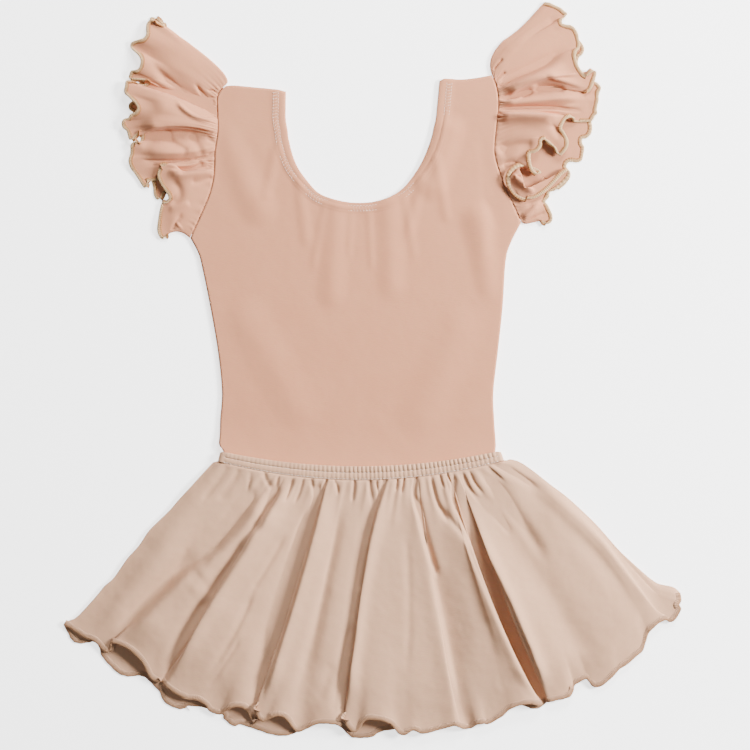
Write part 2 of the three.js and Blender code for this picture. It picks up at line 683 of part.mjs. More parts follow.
// The skirt's back: it lies flat under the front, with its hem showing a little below it
const SKIRT_BACK_HEM = table(['x', 'y'], [
  [-246, -206], [-240, -215], [-234, -219], [-224, -218], [-216, -226], [-209, -235], [-199, -245],
  [-188, -245], [-177, -248], [-167, -263], [-157, -270], [-144, -268], [-132, -270], [-115, -283],
  [-96, -287], [-81, -291], [-65, -293], [-60, -290], [-45, -286], [-29, -286], [-16, -291],
  [-4, -295], [5, -291], [15, -286], [27, -286], [43, -284], [59, -282], [75, -279], [91, -276],
  [103, -268], [119, -260], [139, -258], [159, -250], [175, -242], [191, -236], [207, -226],
  [219, -214], [227, -202], [237, -194], [244, -186], [247, -181],
]);
const SKIRT_BACK_ROWS = [0, 0.15, 0.35, 0.6, 0.85, 1];

function skirtBack() {
  const first = SKIRT_FOLDS[0];
  const last = SKIRT_FOLDS[SKIRT_FOLDS.length - 1];
  const rows = SKIRT_BACK_ROWS.map((v) => SKIRT_BACK_HEM.map((hem, k) => {
    const share = k / (SKIRT_BACK_HEM.length - 1);
    const root = skirtRoot(share);
    const bulge = Math.sin(Math.PI * share);
    const midX = mix(first.midX, last.midX, share);
    const midY = mix(first.midY, last.midY, share) - 50 * bulge;
    const place = foldPlace(root, { midX, midY, hemX: hem.x, hemY: hem.y }, v);
    return new THREE.Vector3(place.x, place.y, BACK_Z);
  }));
  rows.forEach((row) => row.reverse());
  return clothWall(rows, {});
}

// The whole garment

function piece(name, geometry, color) {
  const material = new THREE.MeshStandardMaterial({ color, roughness: 0.95, metalness: 0 });
  const mesh = new THREE.Mesh(geometry, material);
  mesh.name = name;
  return mesh;
}

const garment = new THREE.Group();
garment.name = 'leotard_with_skirt';
garment.position.set(-BOX_CENTRE.x, -BOX_CENTRE.y, 0);
garment.add(piece('leotard_back', leotardPanel(BACK_Z, BACK_NECK_DROP, false), PINK));
garment.add(piece('leotard_front', leotardPanel(FRONT_Z, 0, true), PINK));
garment.add(piece('sleeve_left', sleeve(LEFT_SEAM, -1, LEFT_SLEEVE_FOLDS, LEFT_SLEEVE_BACK), PINK));
garment.add(piece('sleeve_right', sleeve(RIGHT_SEAM, 1, RIGHT_SLEEVE_FOLDS, RIGHT_SLEEVE_BACK), PINK));
garment.add(piece('waistband', waistband(), BEIGE));
garment.add(piece('skirt_back', skirtBack(), BEIGE));
garment.add(piece('skirt_front', skirtFront(), BEIGE));

export default garment;
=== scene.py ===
import math

import bmesh
import bpy
import numpy as np
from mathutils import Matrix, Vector


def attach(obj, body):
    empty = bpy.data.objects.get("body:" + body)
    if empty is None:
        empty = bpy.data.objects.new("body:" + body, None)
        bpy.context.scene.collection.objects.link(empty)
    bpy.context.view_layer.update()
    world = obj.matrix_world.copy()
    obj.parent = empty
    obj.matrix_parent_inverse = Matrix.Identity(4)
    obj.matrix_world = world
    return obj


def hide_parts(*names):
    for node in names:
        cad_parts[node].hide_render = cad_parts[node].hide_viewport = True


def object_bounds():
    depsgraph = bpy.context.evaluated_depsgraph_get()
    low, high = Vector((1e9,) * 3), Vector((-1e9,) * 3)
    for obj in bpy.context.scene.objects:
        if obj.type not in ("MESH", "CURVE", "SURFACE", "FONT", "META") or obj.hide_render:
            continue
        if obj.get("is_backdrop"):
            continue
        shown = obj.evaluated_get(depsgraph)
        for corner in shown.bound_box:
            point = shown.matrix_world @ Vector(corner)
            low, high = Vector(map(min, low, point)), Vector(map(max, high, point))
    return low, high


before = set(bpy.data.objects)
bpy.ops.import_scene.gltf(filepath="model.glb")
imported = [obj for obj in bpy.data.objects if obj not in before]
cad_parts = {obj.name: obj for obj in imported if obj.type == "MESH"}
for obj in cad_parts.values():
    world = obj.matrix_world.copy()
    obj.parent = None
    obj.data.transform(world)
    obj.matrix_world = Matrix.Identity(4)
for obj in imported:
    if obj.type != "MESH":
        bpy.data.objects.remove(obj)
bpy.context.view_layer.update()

# The leotard's back panel
# One panel of fine cotton and elastane jersey, cut in one piece from the shoulders to the crotch.
# It lies flat on the surface and rises over the waistband's back strip. Its lower half is inside the skirt.

MM = 0.001
CENTRE_X = 0.46
CENTRE_Y = -1.3
CLOTH = 0.8
BACK_Z = 0.5
FRONT_Z = 1.8
BACK_NECK_DROP = 5

# Sections from the crotch up: left and right point, how far the section hangs below a straight line,
# and its rise over what is under it
SECTIONS = [
    (-41, -254, 19, -254, 0, 1.3),
    (-44, -236, 22, -236, 0, 1.3),
    (-62, -207, 40, -207, 0, 1.3),
    (-96, -172, 74, -172, 0, 1.3),
    (-127, -142, 105, -142, 4, 1.3),
    (-127, -118, 105, -118, 8, 1.3),
    (-122, -97, 101, -97, 11, 1.3),
    (-116.5, -82, 96.5, -82, 13.5, 2.1),
    (-118.2, -66, 98.8, -66, 13.5, 2.1),
    (-121.8, -60.5, 99.3, -60.5, 13, 1.5),
    (-121.3, -52, 98.8, -52, 12, 0.6),
    (-121, -40, 98, -40, 9, 0),
    (-119.6, -18, 97.4, -18, 4, 0),
    (-122.8, 14, 101, 14, 0, 0),
    (-129, 50, 104.8, 50, 0, 0),
    (-135.6, 82, 107, 84, 0, 0),
    (-138.7, 93, 110.4, 99, 0, 0),
    (-144.9, 104.8, 119.6, 117.2, 0, 0),
]

# The top edge from left to right, at even shares of the panel: left shoulder, neck, right shoulder
TOP_EDGE = [
    (-116.4, 226.2), (-109, 226.6), (-92, 225), (-75, 223.4), (-68.5, 221.6),
    (-68.8, 200), (-65, 178), (-60, 163), (-52, 151), (-42.6, 140.9),
    (-31.2, 136), (-20, 133.5), (-8.4, 132.8), (4, 134), (15.4, 137.9),
    (25.4, 144.7), (34.3, 155.8), (41, 167), (47, 182), (51.5, 200),
    (54.3, 230), (58, 232.2), (71, 231.4), (84, 232.7), (96.1, 234.9),
]

# The armholes from the shoulder down to the underarm
LEFT_ARMHOLE = [
    (-116.4, 227.2), (-122.8, 219), (-122.9, 206), (-122.8, 190), (-125, 175),
    (-125.4, 163), (-126.6, 151), (-130, 138.4), (-136.4, 123.2), (-144.9, 104.8),
]
RIGHT_ARMHOLE = [
    (96.1, 235.5), (99.4, 227), (101, 218), (101.2, 209), (100.2, 200), (98.2, 180),
    (98.6, 170.4), (101.8, 158.6), (106.8, 145.6), (113.2, 131.5), (119.6, 117.2),
]


def smooth(low, high, value):
    t = np.clip((value - low) / (high - low), 0, 1)
    return t * t * (3 - 2 * t)


def row_at(rows, place):
    """The rows' values at fractional row numbers, on a smooth curve through the rows."""
    rows = np.asarray(rows, float)
    place = np.atleast_1d(np.asarray(place, float))
    last = len(rows) - 1
    k = np.clip(np.floor(place).astype(int), 0, last - 1)
    t = (place - k)[:, None]
    a, b = rows[k], rows[k + 1]
    before, after = rows[np.maximum(k - 1, 0)], rows[np.minimum(k + 2, last)]
    m0, m1 = (b - before) / 2, (after - a) / 2
    return a + t * (m0 + t * (3 * (b - a) - 2 * m0 - m1 + t * (2 * (a - b) + m0 + m1)))


def point_on(line, share):
    """The points at shares of a line's length."""
    line = np.asarray(line, float)
    steps = np.hypot(*np.diff(line, axis=0).T)
    reached = np.concatenate([[0], np.cumsum(steps)]) / steps.sum()
    share = np.clip(share, 0, 1)
    return np.stack([np.interp(share, reached, line[:, k]) for k in (0, 1)], axis=-1)


def softened(line, steps=120):
    """A line through the same points with its corners rounded, as evenly spaced points."""
    line = np.asarray(line, float)
    dense = row_at(line, np.linspace(0, len(line) - 1, steps * 4))
    return point_on(dense, np.linspace(0, 1, steps))


def in_frame(point):
    """A point of the tables, in millimetres, as a point in metres in the object's frame."""
    return (point[0] - CENTRE_X) * MM, (point[1] - CENTRE_Y) * MM, point[2] * MM


def finished(name, bm):
    """A bmesh as an object in the scene."""
    mesh = bpy.data.meshes.new(name)
    bm.to_mesh(mesh)
    bm.free()
    made = bpy.data.objects.new(name, mesh)
    bpy.context.scene.collection.objects.link(made)
    return made


def cloth_grid(name, across, up, place, uv_size, loop=False):
    """A grid of cloth. place turns shares across and up into millimetres, and uv_size is its real size."""
    bm = bmesh.new()
    bmesh.ops.create_grid(bm, x_segments=across, y_segments=up, size=1)
    bm.verts.index_update()
    flat = np.array([v.co for v in bm.verts])
    s = np.clip((flat[:, 0] + 1) / 2, 0, 1)
    t = np.clip((flat[:, 1] + 1) / 2, 0, 1)
    points = place(s, t)
    uv = bm.loops.layers.uv.new("Cloth")
    for face in bm.faces:
        for corner in face.loops:
            k = corner.vert.index
            corner[uv].uv = (s[k] * uv_size[0], t[k] * uv_size[1])
        face.smooth = True
    for vert, point in zip(bm.verts, points):
        vert.co = in_frame(point)
    if loop:
        bmesh.ops.remove_doubles(bm, verts=bm.verts, dist=1e-6)
    bm.normal_update()
    return finished(name, bm)


def sew_in(piece, node, material, thickness=CLOTH):
    """Gives a cloth piece its thickness and material, hangs it on the root body and hides the solid it
    stands for.
    """
    shell = piece.modifiers.new("Thickness", "SOLIDIFY")
    shell.thickness = thickness * MM
    shell.offset = 0
    piece.data.materials.append(material)
    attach(piece, "root")
    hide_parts(node)


SECTION_Y = [(row[1] + row[3]) / 2 - row[4] for row in SECTIONS]
TOP_STEPS = len(TOP_EDGE) - 1
NECK_FROM, NECK_TO = 4 / TOP_STEPS, 20 / TOP_STEPS
LEFT_SEAM = softened(LEFT_ARMHOLE)
RIGHT_SEAM = softened(RIGHT_ARMHOLE)
CHEST_SHARE = 0.3


def top_edge(share, drop):
    """Points on the top edge, with the scoop of the neck lowered by drop and its two corners kept sharp."""
    step = share * TOP_STEPS
    edge = row_at(TOP_EDGE, step)
    straight_x = np.interp(step, range(len(TOP_EDGE)), [row[0] for row in TOP_EDGE])
    straight_y = np.interp(step, range(len(TOP_EDGE)), [row[1] for row in TOP_EDGE])
    near_corner = np.minimum(abs(share - NECK_FROM), abs(share - NECK_TO)) < 1.5 / TOP_STEPS
    x = np.where(near_corner, straight_x, edge[:, 0])
    y = np.where(near_corner, straight_y, edge[:, 1])
    in_neck = smooth(3.5, 8, step) * smooth(3.5, 8, TOP_STEPS - step)
    return x, y - drop * in_neck


def section_points(row, share):
    """Points across sections, given the sections' rows."""
    left_x, left_y, right_x, right_y, dip, rise = row.T
    bow = 4 * share * (1 - share)
    x = left_x + (right_x - left_x) * share
    y = left_y + (right_y - left_y) * share - dip * bow
    return x, y, rise


def armhole_line(armhole, t):
    """Points on the straight line from the underarm to the shoulder."""
    low, high = np.array(armhole[-1]), np.array(armhole[0])
    return low + (high - low) * t[:, None]


def panel_place(share, up, drop):
    """The panel's place and rise: sections below the underarms, and a patch above them to the top edge."""
    height = np.interp(np.clip(up / (1 - CHEST_SHARE), 0, 1), [0, 1], [SECTION_Y[0], SECTION_Y[-1]])
    rows = row_at(SECTIONS, np.interp(height, SECTION_Y, range(len(SECTIONS))))
    x, y, rise = section_points(rows, share)
    t = np.clip((up - (1 - CHEST_SHARE)) / CHEST_SHARE, 0, 1)
    low_x, low_y, _ = section_points(np.tile(SECTIONS[-1], (len(share), 1)).astype(float), share)
    high_x, high_y = top_edge(share, drop)
    left = point_on(LEFT_SEAM, 1 - t)
    right = point_on(RIGHT_SEAM, 1 - t)
    left_bow = left - armhole_line(LEFT_ARMHOLE, t)
    right_bow = right - armhole_line(RIGHT_ARMHOLE, t)
    chest_x = low_x + (high_x - low_x) * t + (1 - share) * left_bow[:, 0] + share * right_bow[:, 0]
    chest_y = low_y + (high_y - low_y) * t + (1 - share) * left_bow[:, 1] + share * right_bow[:, 1]
    above = up >= 1 - CHEST_SHARE
    x = np.where(above, chest_x, x)
    y = np.where(above, chest_y, y)
    return x, y, np.where(above, 0, np.maximum(rise, 0))


def back_place(share, up):
    x, y, rise = panel_place(share, up, BACK_NECK_DROP)
    return np.stack([x, y, BACK_Z + rise], axis=-1)


def linear(red, green, blue):
    """A colour seen on a screen, from 0 to 255, as the shader's linear one."""
    return tuple(((c / 255 + 0.055) / 1.055) ** 2.4 for c in (red, green, blue)) + (1,)


def add_node(tree, kind, **values):
    """A shader node with its named input values set."""
    made = tree.nodes.new("ShaderNode" + kind)
    for socket, value in values.items():
        made.inputs[socket].default_value = value
    return made


def mix_colours(tree, factor, first, second, way="MIX"):
    """A mix of two colours, each of which may be a value or another node's output."""
    made = tree.nodes.new("ShaderNodeMix")
    made.data_type = "RGBA"
    made.blend_type = way
    for socket, value in (("Factor", factor), ("A", first), ("B", second)):
        if isinstance(value, bpy.types.NodeSocket):
            tree.links.new(value, made.inputs[socket])
        else:
            made.inputs[socket].default_value = value
    return made.outputs["Result"]


def start_material(name, finish):
    """A new material with its shader's named values set, with its node tree and its shader."""
    material = bpy.data.materials.new(name)
    material.use_nodes = True
    shader = material.node_tree.nodes["Principled BSDF"]
    for socket, value in finish.items():
        shader.inputs[socket].default_value = value
    return material, material.node_tree, shader


def jersey(name, colour, shade, crumple):
    """Matt knitted cotton: uneven courses and soft crumples in its bump, a faint mottle in its colour."""
    finish = {
        "Roughness": 0.92,
        "Specular IOR Level": 0.2,
        "Sheen Weight": 0.12,
        "Sheen Roughness": 0.5,
        "Sheen Tint": linear(255, 236, 224),
    }
    material, tree, shader = start_material(name, finish)
    weave = add_node(tree, "UVMap")
    weave.uv_map = "Cloth"
    courses = add_node(tree, "Mapping", Scale=(260, 1500, 1))
    tree.links.new(weave.outputs["UV"], courses.inputs["Vector"])
    grain = add_node(tree, "TexNoise", Scale=1, Detail=2)
    tree.links.new(courses.outputs["Vector"], grain.inputs["Vector"])
    place = add_node(tree, "TexCoord")
    mottle = add_node(tree, "TexNoise", Scale=38, Detail=3)
    tree.links.new(place.outputs["Object"], mottle.inputs["Vector"])
    blend = mix_colours(tree, mottle.outputs["Fac"], linear(*colour), linear(*shade))
    fine = mix_colours(tree, 0.16, blend, grain.outputs["Color"], "MULTIPLY")
    tree.links.new(fine, shader.inputs["Base Color"])
    crumples = add_node(tree, "TexNoise", Scale=48, Detail=2, Roughness=0.6)
    tree.links.new(place.outputs["Object"], crumples.inputs["Vector"])
    soft = add_node(tree, "Bump", Strength=1, Distance=crumple)
    tree.links.new(crumples.outputs["Fac"], soft.inputs["Height"])
    bump = add_node(tree, "Bump", Strength=0.35, Distance=0.0002)
    tree.links.new(grain.outputs["Fac"], bump.inputs["Height"])
    tree.links.new(soft.outputs["Normal"], bump.inputs["Normal"])
    tree.links.new(bump.outputs["Normal"], shader.inputs["Normal"])
    return material


pink_jersey = jersey("pink_jersey", (204, 141, 107), (198, 134, 100), 0.0004)
leotard_back = cloth_grid("leotard_back_cloth", 84, 150, back_place, (0.26, 0.49))
sew_in(leotard_back, "leotard_back", pink_jersey)

# The leotard's front panel
# The same jersey and cut as the back with a slightly higher scoop, laid over it and sewn to it at the
# shoulders, sides and crotch. It has settled in soft folds, and fine pleats run down from the neck's hem.

# Soft folds: where each starts and ends, how far its sides reach, and its lift
CHEST_FOLDS = [
    (62, 190, 48, 148, 16, 2.2),
    (86, 120, 98, 70, 18, 2.4),
    (-118, 180, -90, 128, 18, 1.6),
    (-28, 128, -32, 60, 14, 1.2),
    (14, 132, 16, 66, 14, 1.2),
    (-100, 40, -60, -30, 22, 1.1),
    (70, 30, 40, -36, 24, 1.1),
    (92, 178, 100, 96, 10, -0.9),
    (40, 152, 30, 110, 7, 0.7),
    (52, 168, 60, 122, 6, 0.6),
    (-58, 150, -52, 104, 7, 0.6),
    (-76, 176, -84, 140, 7, 0.6),
    (-16, 124, -18, 92, 4, 0.4),
    (-2, 124, 0, 84, 4, 0.45),
    (26, 138, 34, 92, 5, 0.45),
    (-38, 130, -46, 84, 5, 0.45),
]


def fold_lift(x, y, folds):
    """The lift of straight soft folds at places, tapering at both ends."""
    lift = np.zeros(len(x))
    for from_x, from_y, to_x, to_y, reach, height in folds:
        dx, dy = to_x - from_x, to_y - from_y
        along = ((x - from_x) * dx + (y - from_y) * dy) / (dx * dx + dy * dy)
        kept = np.clip(along, 0, 1)
        away = np.hypot(x - from_x - kept * dx, y - from_y - kept * dy)
        lift += height * (1 - smooth(0, reach, away))
    return lift


NECK_LINE = np.stack(top_edge(np.linspace(NECK_FROM, NECK_TO, 240), 0), axis=-1)


def neck_distance(x, y):
    """The distance to the neck's edge, and where on it that is: 0 at the bottom, 1 at a strap's end."""
    nearest = np.full(len(x), 1e9)
    strap = np.zeros(len(x))
    for k, (edge_x, edge_y) in enumerate(NECK_LINE):
        away = np.hypot(x - edge_x, y - edge_y)
        closer = away < nearest
        nearest[closer] = away[closer]
        strap[closer] = abs(k / (len(NECK_LINE) - 1) * 2 - 1)
    return nearest, strap


# The distance between the two needles' rows, and the length of a stitch with its gap
ROW_GAP = 4.1
STITCH_PITCH = 2.45


def first_row(strap):
    """How far the first stitch row is from the edge, which rolls under more at the bottom of the scoop."""
    return 2.4 + 3.6 * smooth(0.25, 0.8, strap)


def front_place(share, up):
    x, y, rise = panel_place(share, up, 0)
    side = smooth(0, 0.1, np.minimum(share, 1 - share))
    lift = fold_lift(x, y, CHEST_FOLDS) * side
    away, strap = neck_distance(x, y)
    row = first_row(strap)
    hem = 0.6 * (1 - smooth(row + ROW_GAP - 0.5, row + ROW_GAP + 2.5, away))
    hem -= 0.28 * np.exp(-(((away - row) / 0.9) ** 2))
    hem -= 0.28 * np.exp(-(((away - row - ROW_GAP) / 0.9) ** 2))
    hem -= 0.5 * np.exp(-((away / 1.2) ** 2))
    return np.stack([x, y, FRONT_Z + rise + np.maximum(lift, -0.2) + hem], axis=-1)


leotard_front = cloth_grid("leotard_front_cloth", 132, 172, front_place, (0.26, 0.49))
sew_in(leotard_front, "leotard_front", pink_jersey)

# The sewing of the neck's hem
# The neck's edge is turned under and held by a cover stitch of pale thread, made with two needles: two rows
# of straight stitches with a zigzag of looper thread between them.


def thread_material(name, colour):
    """Spun cotton thread: a little shinier than the jersey, with its twist in a fine bump."""
    finish = {"Base Color": linear(*colour), "Roughness": 0.6, "Sheen Weight": 0.2}
    material, tree, shader = start_material(name, finish)
    place = add_node(tree, "TexCoord")
    twist = add_node(tree, "TexNoise", Scale=2400)
    tree.links.new(place.outputs["Object"], twist.inputs["Vector"])
    bump = add_node(tree, "Bump", Strength=0.3, Distance=0.0001)
    tree.links.new(twist.outputs["Fac"], bump.inputs["Height"])
    tree.links.new(bump.outputs["Normal"], shader.inputs["Normal"])
    return material


def stitches(name, runs, radius, material):
    """One piece of many short threads: each run is a pair of points in millimetres."""
    bm = bmesh.new()
    for start, end in runs:
        start, end = np.array(start, float), np.array(end, float)
        along = end - start
        length = np.linalg.norm(along)
        if length < 0.2:
            continue
        made = bmesh.ops.create_uvsphere(bm, u_segments=6, v_segments=5, radius=1)["verts"]
        along = along / length
        side = np.cross(along, (0, 0, 1))
        side = side / np.linalg.norm(side)
        up = np.cross(side, along)
        middle = (start + end) / 2
        for vert in made:
            x, y, z = vert.co
            point = middle + along * z * length / 2 + side * x * radius + up * y * radius
            vert.co = in_frame(point)
    for face in bm.faces:
        face.smooth = True
    bmesh.ops.recalc_face_normals(bm, faces=bm.faces)
    made = finished(name, bm)
    made.data.materials.append(material)
    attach(made, "root")
    return made


thread = thread_material("pale_thread", (224, 196, 178))


def neck_row(offset):
    """Points of a stitch row round the neck, at an offset from the hem's first row."""
    line = NECK_LINE
    tangent = np.gradient(line, axis=0)
    tangent /= np.linalg.norm(tangent, axis=1)[:, None]
    strap = abs(np.linspace(-1, 1, len(line)))
    away = first_row(strap) + offset
    out = np.stack([tangent[:, 1], -tangent[:, 0]], axis=-1)
    return line + out * away[:, None]


def evenly(line, pitch):
    steps = np.hypot(*np.diff(line, axis=0).T)
    count = int(steps.sum() / pitch)
    return point_on(line, np.linspace(0, 1, count + 1))


NECK_TOP = FRONT_Z + CLOTH / 2 + 0.42
neck_runs = []
low_row = evenly(neck_row(0), STITCH_PITCH)
high_row = evenly(neck_row(ROW_GAP), STITCH_PITCH)
for places in (low_row, high_row):
    for a, b in zip(places[:-1], places[1:]):
        gap = (b - a) * 0.11
        neck_runs.append(((*(a + gap), NECK_TOP), (*(b - gap), NECK_TOP)))
neck_rows = stitches("neck_needle_stitches", neck_runs, 0.24, thread)
zigzag = []
for k in range(min(len(low_row), len(high_row)) - 1):
    share = k / (len(low_row) - 1)
    high = high_row[min(len(high_row) - 1, round(share * (len(high_row) - 1)))]
    later = high_row[min(len(high_row) - 1, round(share * (len(high_row) - 1)) + 1)]
    zigzag.append(((*low_row[k], NECK_TOP + 0.05), (*((high + later) / 2), NECK_TOP + 0.05)))
neck_zigzag = stitches("neck_looper_zigzag", zigzag, 0.16, thread)

# The seams of the leotard
# The panels are sewn together at the shoulders and sides, and the sleeves to them round the armholes.
# Each seam's allowance is a narrow strip of the same jersey, pressed flat between the layers.

EDGE_Z = (FRONT_Z + BACK_Z) / 2


def close_tube(made):
    """Fills a tube's open ends and turns its faces outwards."""
    bm = bmesh.new()
    bm.from_mesh(made.data)
    bmesh.ops.holes_fill(bm, edges=[e for e in bm.edges if e.is_boundary], sides=0)
    bmesh.ops.recalc_face_normals(bm, faces=bm.faces)
    bm.to_mesh(made.data)
    bm.free()


def seam_strip(name, points, wide, high, material):
    """A seam allowance: a flat strip of folded cloth along a line of points, closed at both ends."""
    points = np.asarray(points, float)
    tangent = np.gradient(points, axis=0)
    tangent[:, 2] = 0
    tangent /= np.linalg.norm(tangent, axis=1)[:, None]
    side = np.stack([-tangent[:, 1], tangent[:, 0], 0 * tangent[:, 0]], axis=-1)

    def around(share, turn):
        row = share * (len(points) - 1)
        angle = turn * 2 * math.pi
        made = row_at(points, row) + row_at(side, row) * (wide * np.cos(angle))[:, None]
        made[:, 2] += high * np.sign(np.sin(angle)) * abs(np.sin(angle)) ** 0.5
        return made

    made = cloth_grid(name, len(points) * 2, 12, around, (0.2, 0.01), loop=True)
    close_tube(made)
    made.data.materials.append(material)
    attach(made, "root")


for name, seam in (("armhole_seam_left", LEFT_SEAM), ("armhole_seam_right", RIGHT_SEAM)):
    inner = seam[3:-3]
    seam_strip(name, np.column_stack([inner, np.full(len(inner), EDGE_Z)]), 3.5, 0.24, pink_jersey)
for name, edge, inward in (("side_seam_left", 0, 1), ("side_seam_right", 1, -1)):
    ups = np.linspace(0.02, 1 - CHEST_SHARE, 90)
    x, y, rise = panel_place(np.full(90, float(edge)), ups, 0)
    seam_strip(name, np.column_stack([x + inward * 1.6, y, EDGE_Z + rise]), 1.3, 0.26, pink_jersey)
for name, first, last in (("shoulder_seam_left", 0.35, 3.9), ("shoulder_seam_right", 20.1, 23.65)):
    x, y = top_edge(np.linspace(first, last, 30) / TOP_STEPS, 0)
    seam_strip(name, np.column_stack([x, y - 1.6, np.full(30, EDGE_Z)]), 1.3, 0.26, pink_jersey)

# The two sleeves
# Each is a short flutter sleeve of the same jersey: a flared tube, gathered into the armhole, whose hem is
# stretched as it is overlocked so that it ripples. It lies folded along its top, its front in loose folds.

FRONT_PART = 0.76

# Folds of the front layer from the shoulder down to the underarm: share of the armhole,
# middle and hem place, and the lift near the root, at the middle and at the hem
LEFT_SLEEVE_FOLDS = [
    (0.02, -145, 254, -180, 278, 1, 1.5, 1),
    (0.04, -147, 249, -177, 269, 1.8, 2.6, 2.6),
    (0.065, -150, 243, -183, 263, 2, 3, 1.6),
    (0.09, -152, 238, -192, 260, 2, 3, 0.6),
    (0.115, -153, 233, -184, 251, 1.5, 2, 2.2),
    (0.15, -152, 226, -180, 244, 0.6, 0.8, 1.4),
    (0.165, -155, 224, -186, 239, 1.6, 2.4, 1.6),
    (0.18, -156, 222, -192, 236, 1.6, 2.4, 0.8),
    (0.197, -156, 218, -187, 231, 0.3, 0.3, 0.3),
    (0.21, -157, 216, -191, 230, 3.5, 5.5, 3.2),
    (0.23, -160, 213, -196, 225, 4.5, 7.5, 4.5),
    (0.25, -160, 209, -196, 218, 4.5, 8, 5),
    (0.27, -160, 205, -188, 212, 4.5, 8, 6.5),
    (0.285, -161, 202, -185, 206, 4.5, 7.5, 6.5),
    (0.3, -163, 198, -191, 201, 4.5, 7, 4.5),
    (0.312, -164, 196, -199, 198, 4.2, 6.5, 3.5),
    (0.322, -164, 194, -197, 191, 4, 6, 3.4),
    (0.335, -160, 192, -192, 183, 3.6, 5.2, 3.2),
    (0.348, -159, 190, -188, 182, 0.3, 0.4, 0.3),
    (0.37, -159, 184, -187, 179, 0.3, 0.3, 0.3),
    (0.4, -157, 174, -189, 176, 2.5, 4.5, 3.2),
    (0.43, -158, 170, -192, 171, 2, 3.5, 2.2),
    (0.455, -156, 166, -193, 166, 0.6, 0.8, 1),
    (0.485, -158, 164, -190, 158, 1.5, 2, 1.5),
    (0.51, -159, 162, -183, 148, 1.5, 1.5, 0.6),
    (0.525, -155, 160, -177, 149, 0.6, 0.4, 0.8),
    (0.545, -151, 158, -173, 145, 0.3, 0.3, 0.3),
    (0.565, -148, 156, -167, 144, 3, 4, 4),
    (0.62, -148, 150, -163, 139, 3, 4.6, 3.2),
    (0.7, -150, 141, -168, 130, 2.5, 4, 2),
    (0.79, -152, 131, -170, 119, 2, 3, 1.5),
    (0.87, -154, 122, -168, 106, 1.5, 2, 0.6),
    (0.92, -153, 118, -165, 108, 1, 1.5, 1.2),
    (0.965, -153, 113, -165, 107, 0.6, 0.8, 0.8),
]
RIGHT_SLEEVE_FOLDS = [
    (0.015, 108, 259, 147, 290, 1, 1.5, 1),
    (0.03, 110, 257, 153, 286, 1.8, 2.6, 1.4),
    (0.045, 112, 254, 156, 283, 2, 3, 0.6),
    (0.055, 114, 251, 152, 277, 2, 2.5, 2.6),
    (0.065, 117, 248, 160, 274, 1.5, 2.2, 1.6),
    (0.075, 120, 245, 165, 267, 1.2, 1.5, 1.2),
    (0.085, 124, 242, 169, 257, 0.8, 1, 0.6),
    (0.095, 127, 238, 163, 250, 0.6, 0.8, 2),
    (0.11, 130, 235, 164, 242, 1.6, 2.6, 2.6),
    (0.125, 132, 233, 170, 236, 2.5, 4, 3),
    (0.14, 134, 230, 180, 236, 2.5, 4.5, 2.4),
    (0.15, 136, 227, 178, 230, 2.4, 4.2, 2.4),
    (0.165, 136, 225, 177, 228, 0.3, 0.4, 0.3),
    (0.18, 137, 222, 183, 226, 0.3, 0.5, 0.3),
    (0.195, 138, 219, 183, 222, 1.2, 1.8, 0.8),
    (0.21, 139, 215, 181, 217, 1.4, 2.2, 1.8),
    (0.23, 140, 210, 180, 209, 0.8, 0.8, 1),
    (0.245, 141, 207, 176, 204, 0.5, 0.5, 0.6),
    (0.26, 139, 205, 170, 200, 0.3, 0.3, 0.3),
    (0.275, 136, 203, 162, 200, 3, 5, 3.6),
    (0.3, 134, 201, 161, 196, 3.5, 6, 5.2),
    (0.34, 132, 198, 154, 190, 3.5, 6, 4.6),
    (0.38, 131, 195, 156, 182, 3.5, 6, 3),
    (0.42, 129, 190, 151, 172, 3.5, 5.5, 1.6),
    (0.46, 124, 186, 143, 180, 3.5, 5.5, 4.2),
    (0.5, 119, 182, 136, 181, 3.5, 5.5, 5.4),
    (0.54, 116, 175, 132, 174, 3, 5, 4.2),
    (0.58, 113, 168, 127, 167, 2.5, 4, 2.6),
    (0.615, 115, 163, 130, 162, 0.6, 0.6, 0.4),
    (0.65, 120, 156, 156, 156, 2.5, 2.5, 2.2),
    (0.7, 121, 151, 148, 150, 3.5, 5, 4.8),
    (0.75, 118, 145, 136, 142, 3.5, 5, 5),
    (0.8, 118, 140, 128, 137, 3, 4.5, 4),
    (0.85, 124, 134, 142, 134, 1, 0.8, 0.6),
    (0.89, 126, 130, 140, 130, 1.5, 1.5, 2),
    (0.93, 128, 126, 144, 119, 1.5, 1.5, 0.6),
    (0.97, 126, 121, 136, 118, 1, 1, 1.2),
]

# The back layer's rows: its first and last are the folds that join it to the front
LEFT_SLEEVE_BACK = [
    (0, -143, 258, -175, 282),
    (0.1, -151, 244, -184, 262),
    (0.2, -156, 228, -189, 239),
    (0.32, -161, 210, -192, 218),
    (0.44, -163, 191, -193, 198),
    (0.55, -161, 174, -188, 174),
    (0.66, -157, 158, -180, 154),
    (0.78, -153, 142, -172, 136),
    (0.9, -150, 122, -165, 116),
    (1, -155, 110, -165, 107),
]
RIGHT_SLEEVE_BACK = [
    (0, 105, 262, 140, 292),
    (0.1, 113, 249, 151, 273),
    (0.2, 120, 234, 161, 250),
    (0.3, 127, 223, 173, 228),
    (0.4, 133, 212, 176, 207),
    (0.48, 136, 202, 175, 191),
    (0.56, 135, 191, 168, 182),
    (0.64, 132, 180, 169, 171),
    (0.72, 128, 169, 156, 164),
    (0.8, 127, 154, 158, 153),
    (0.87, 124, 142, 148, 143),
    (0.94, 124, 129, 140, 131),
    (1, 123, 116, 126, 114),
]

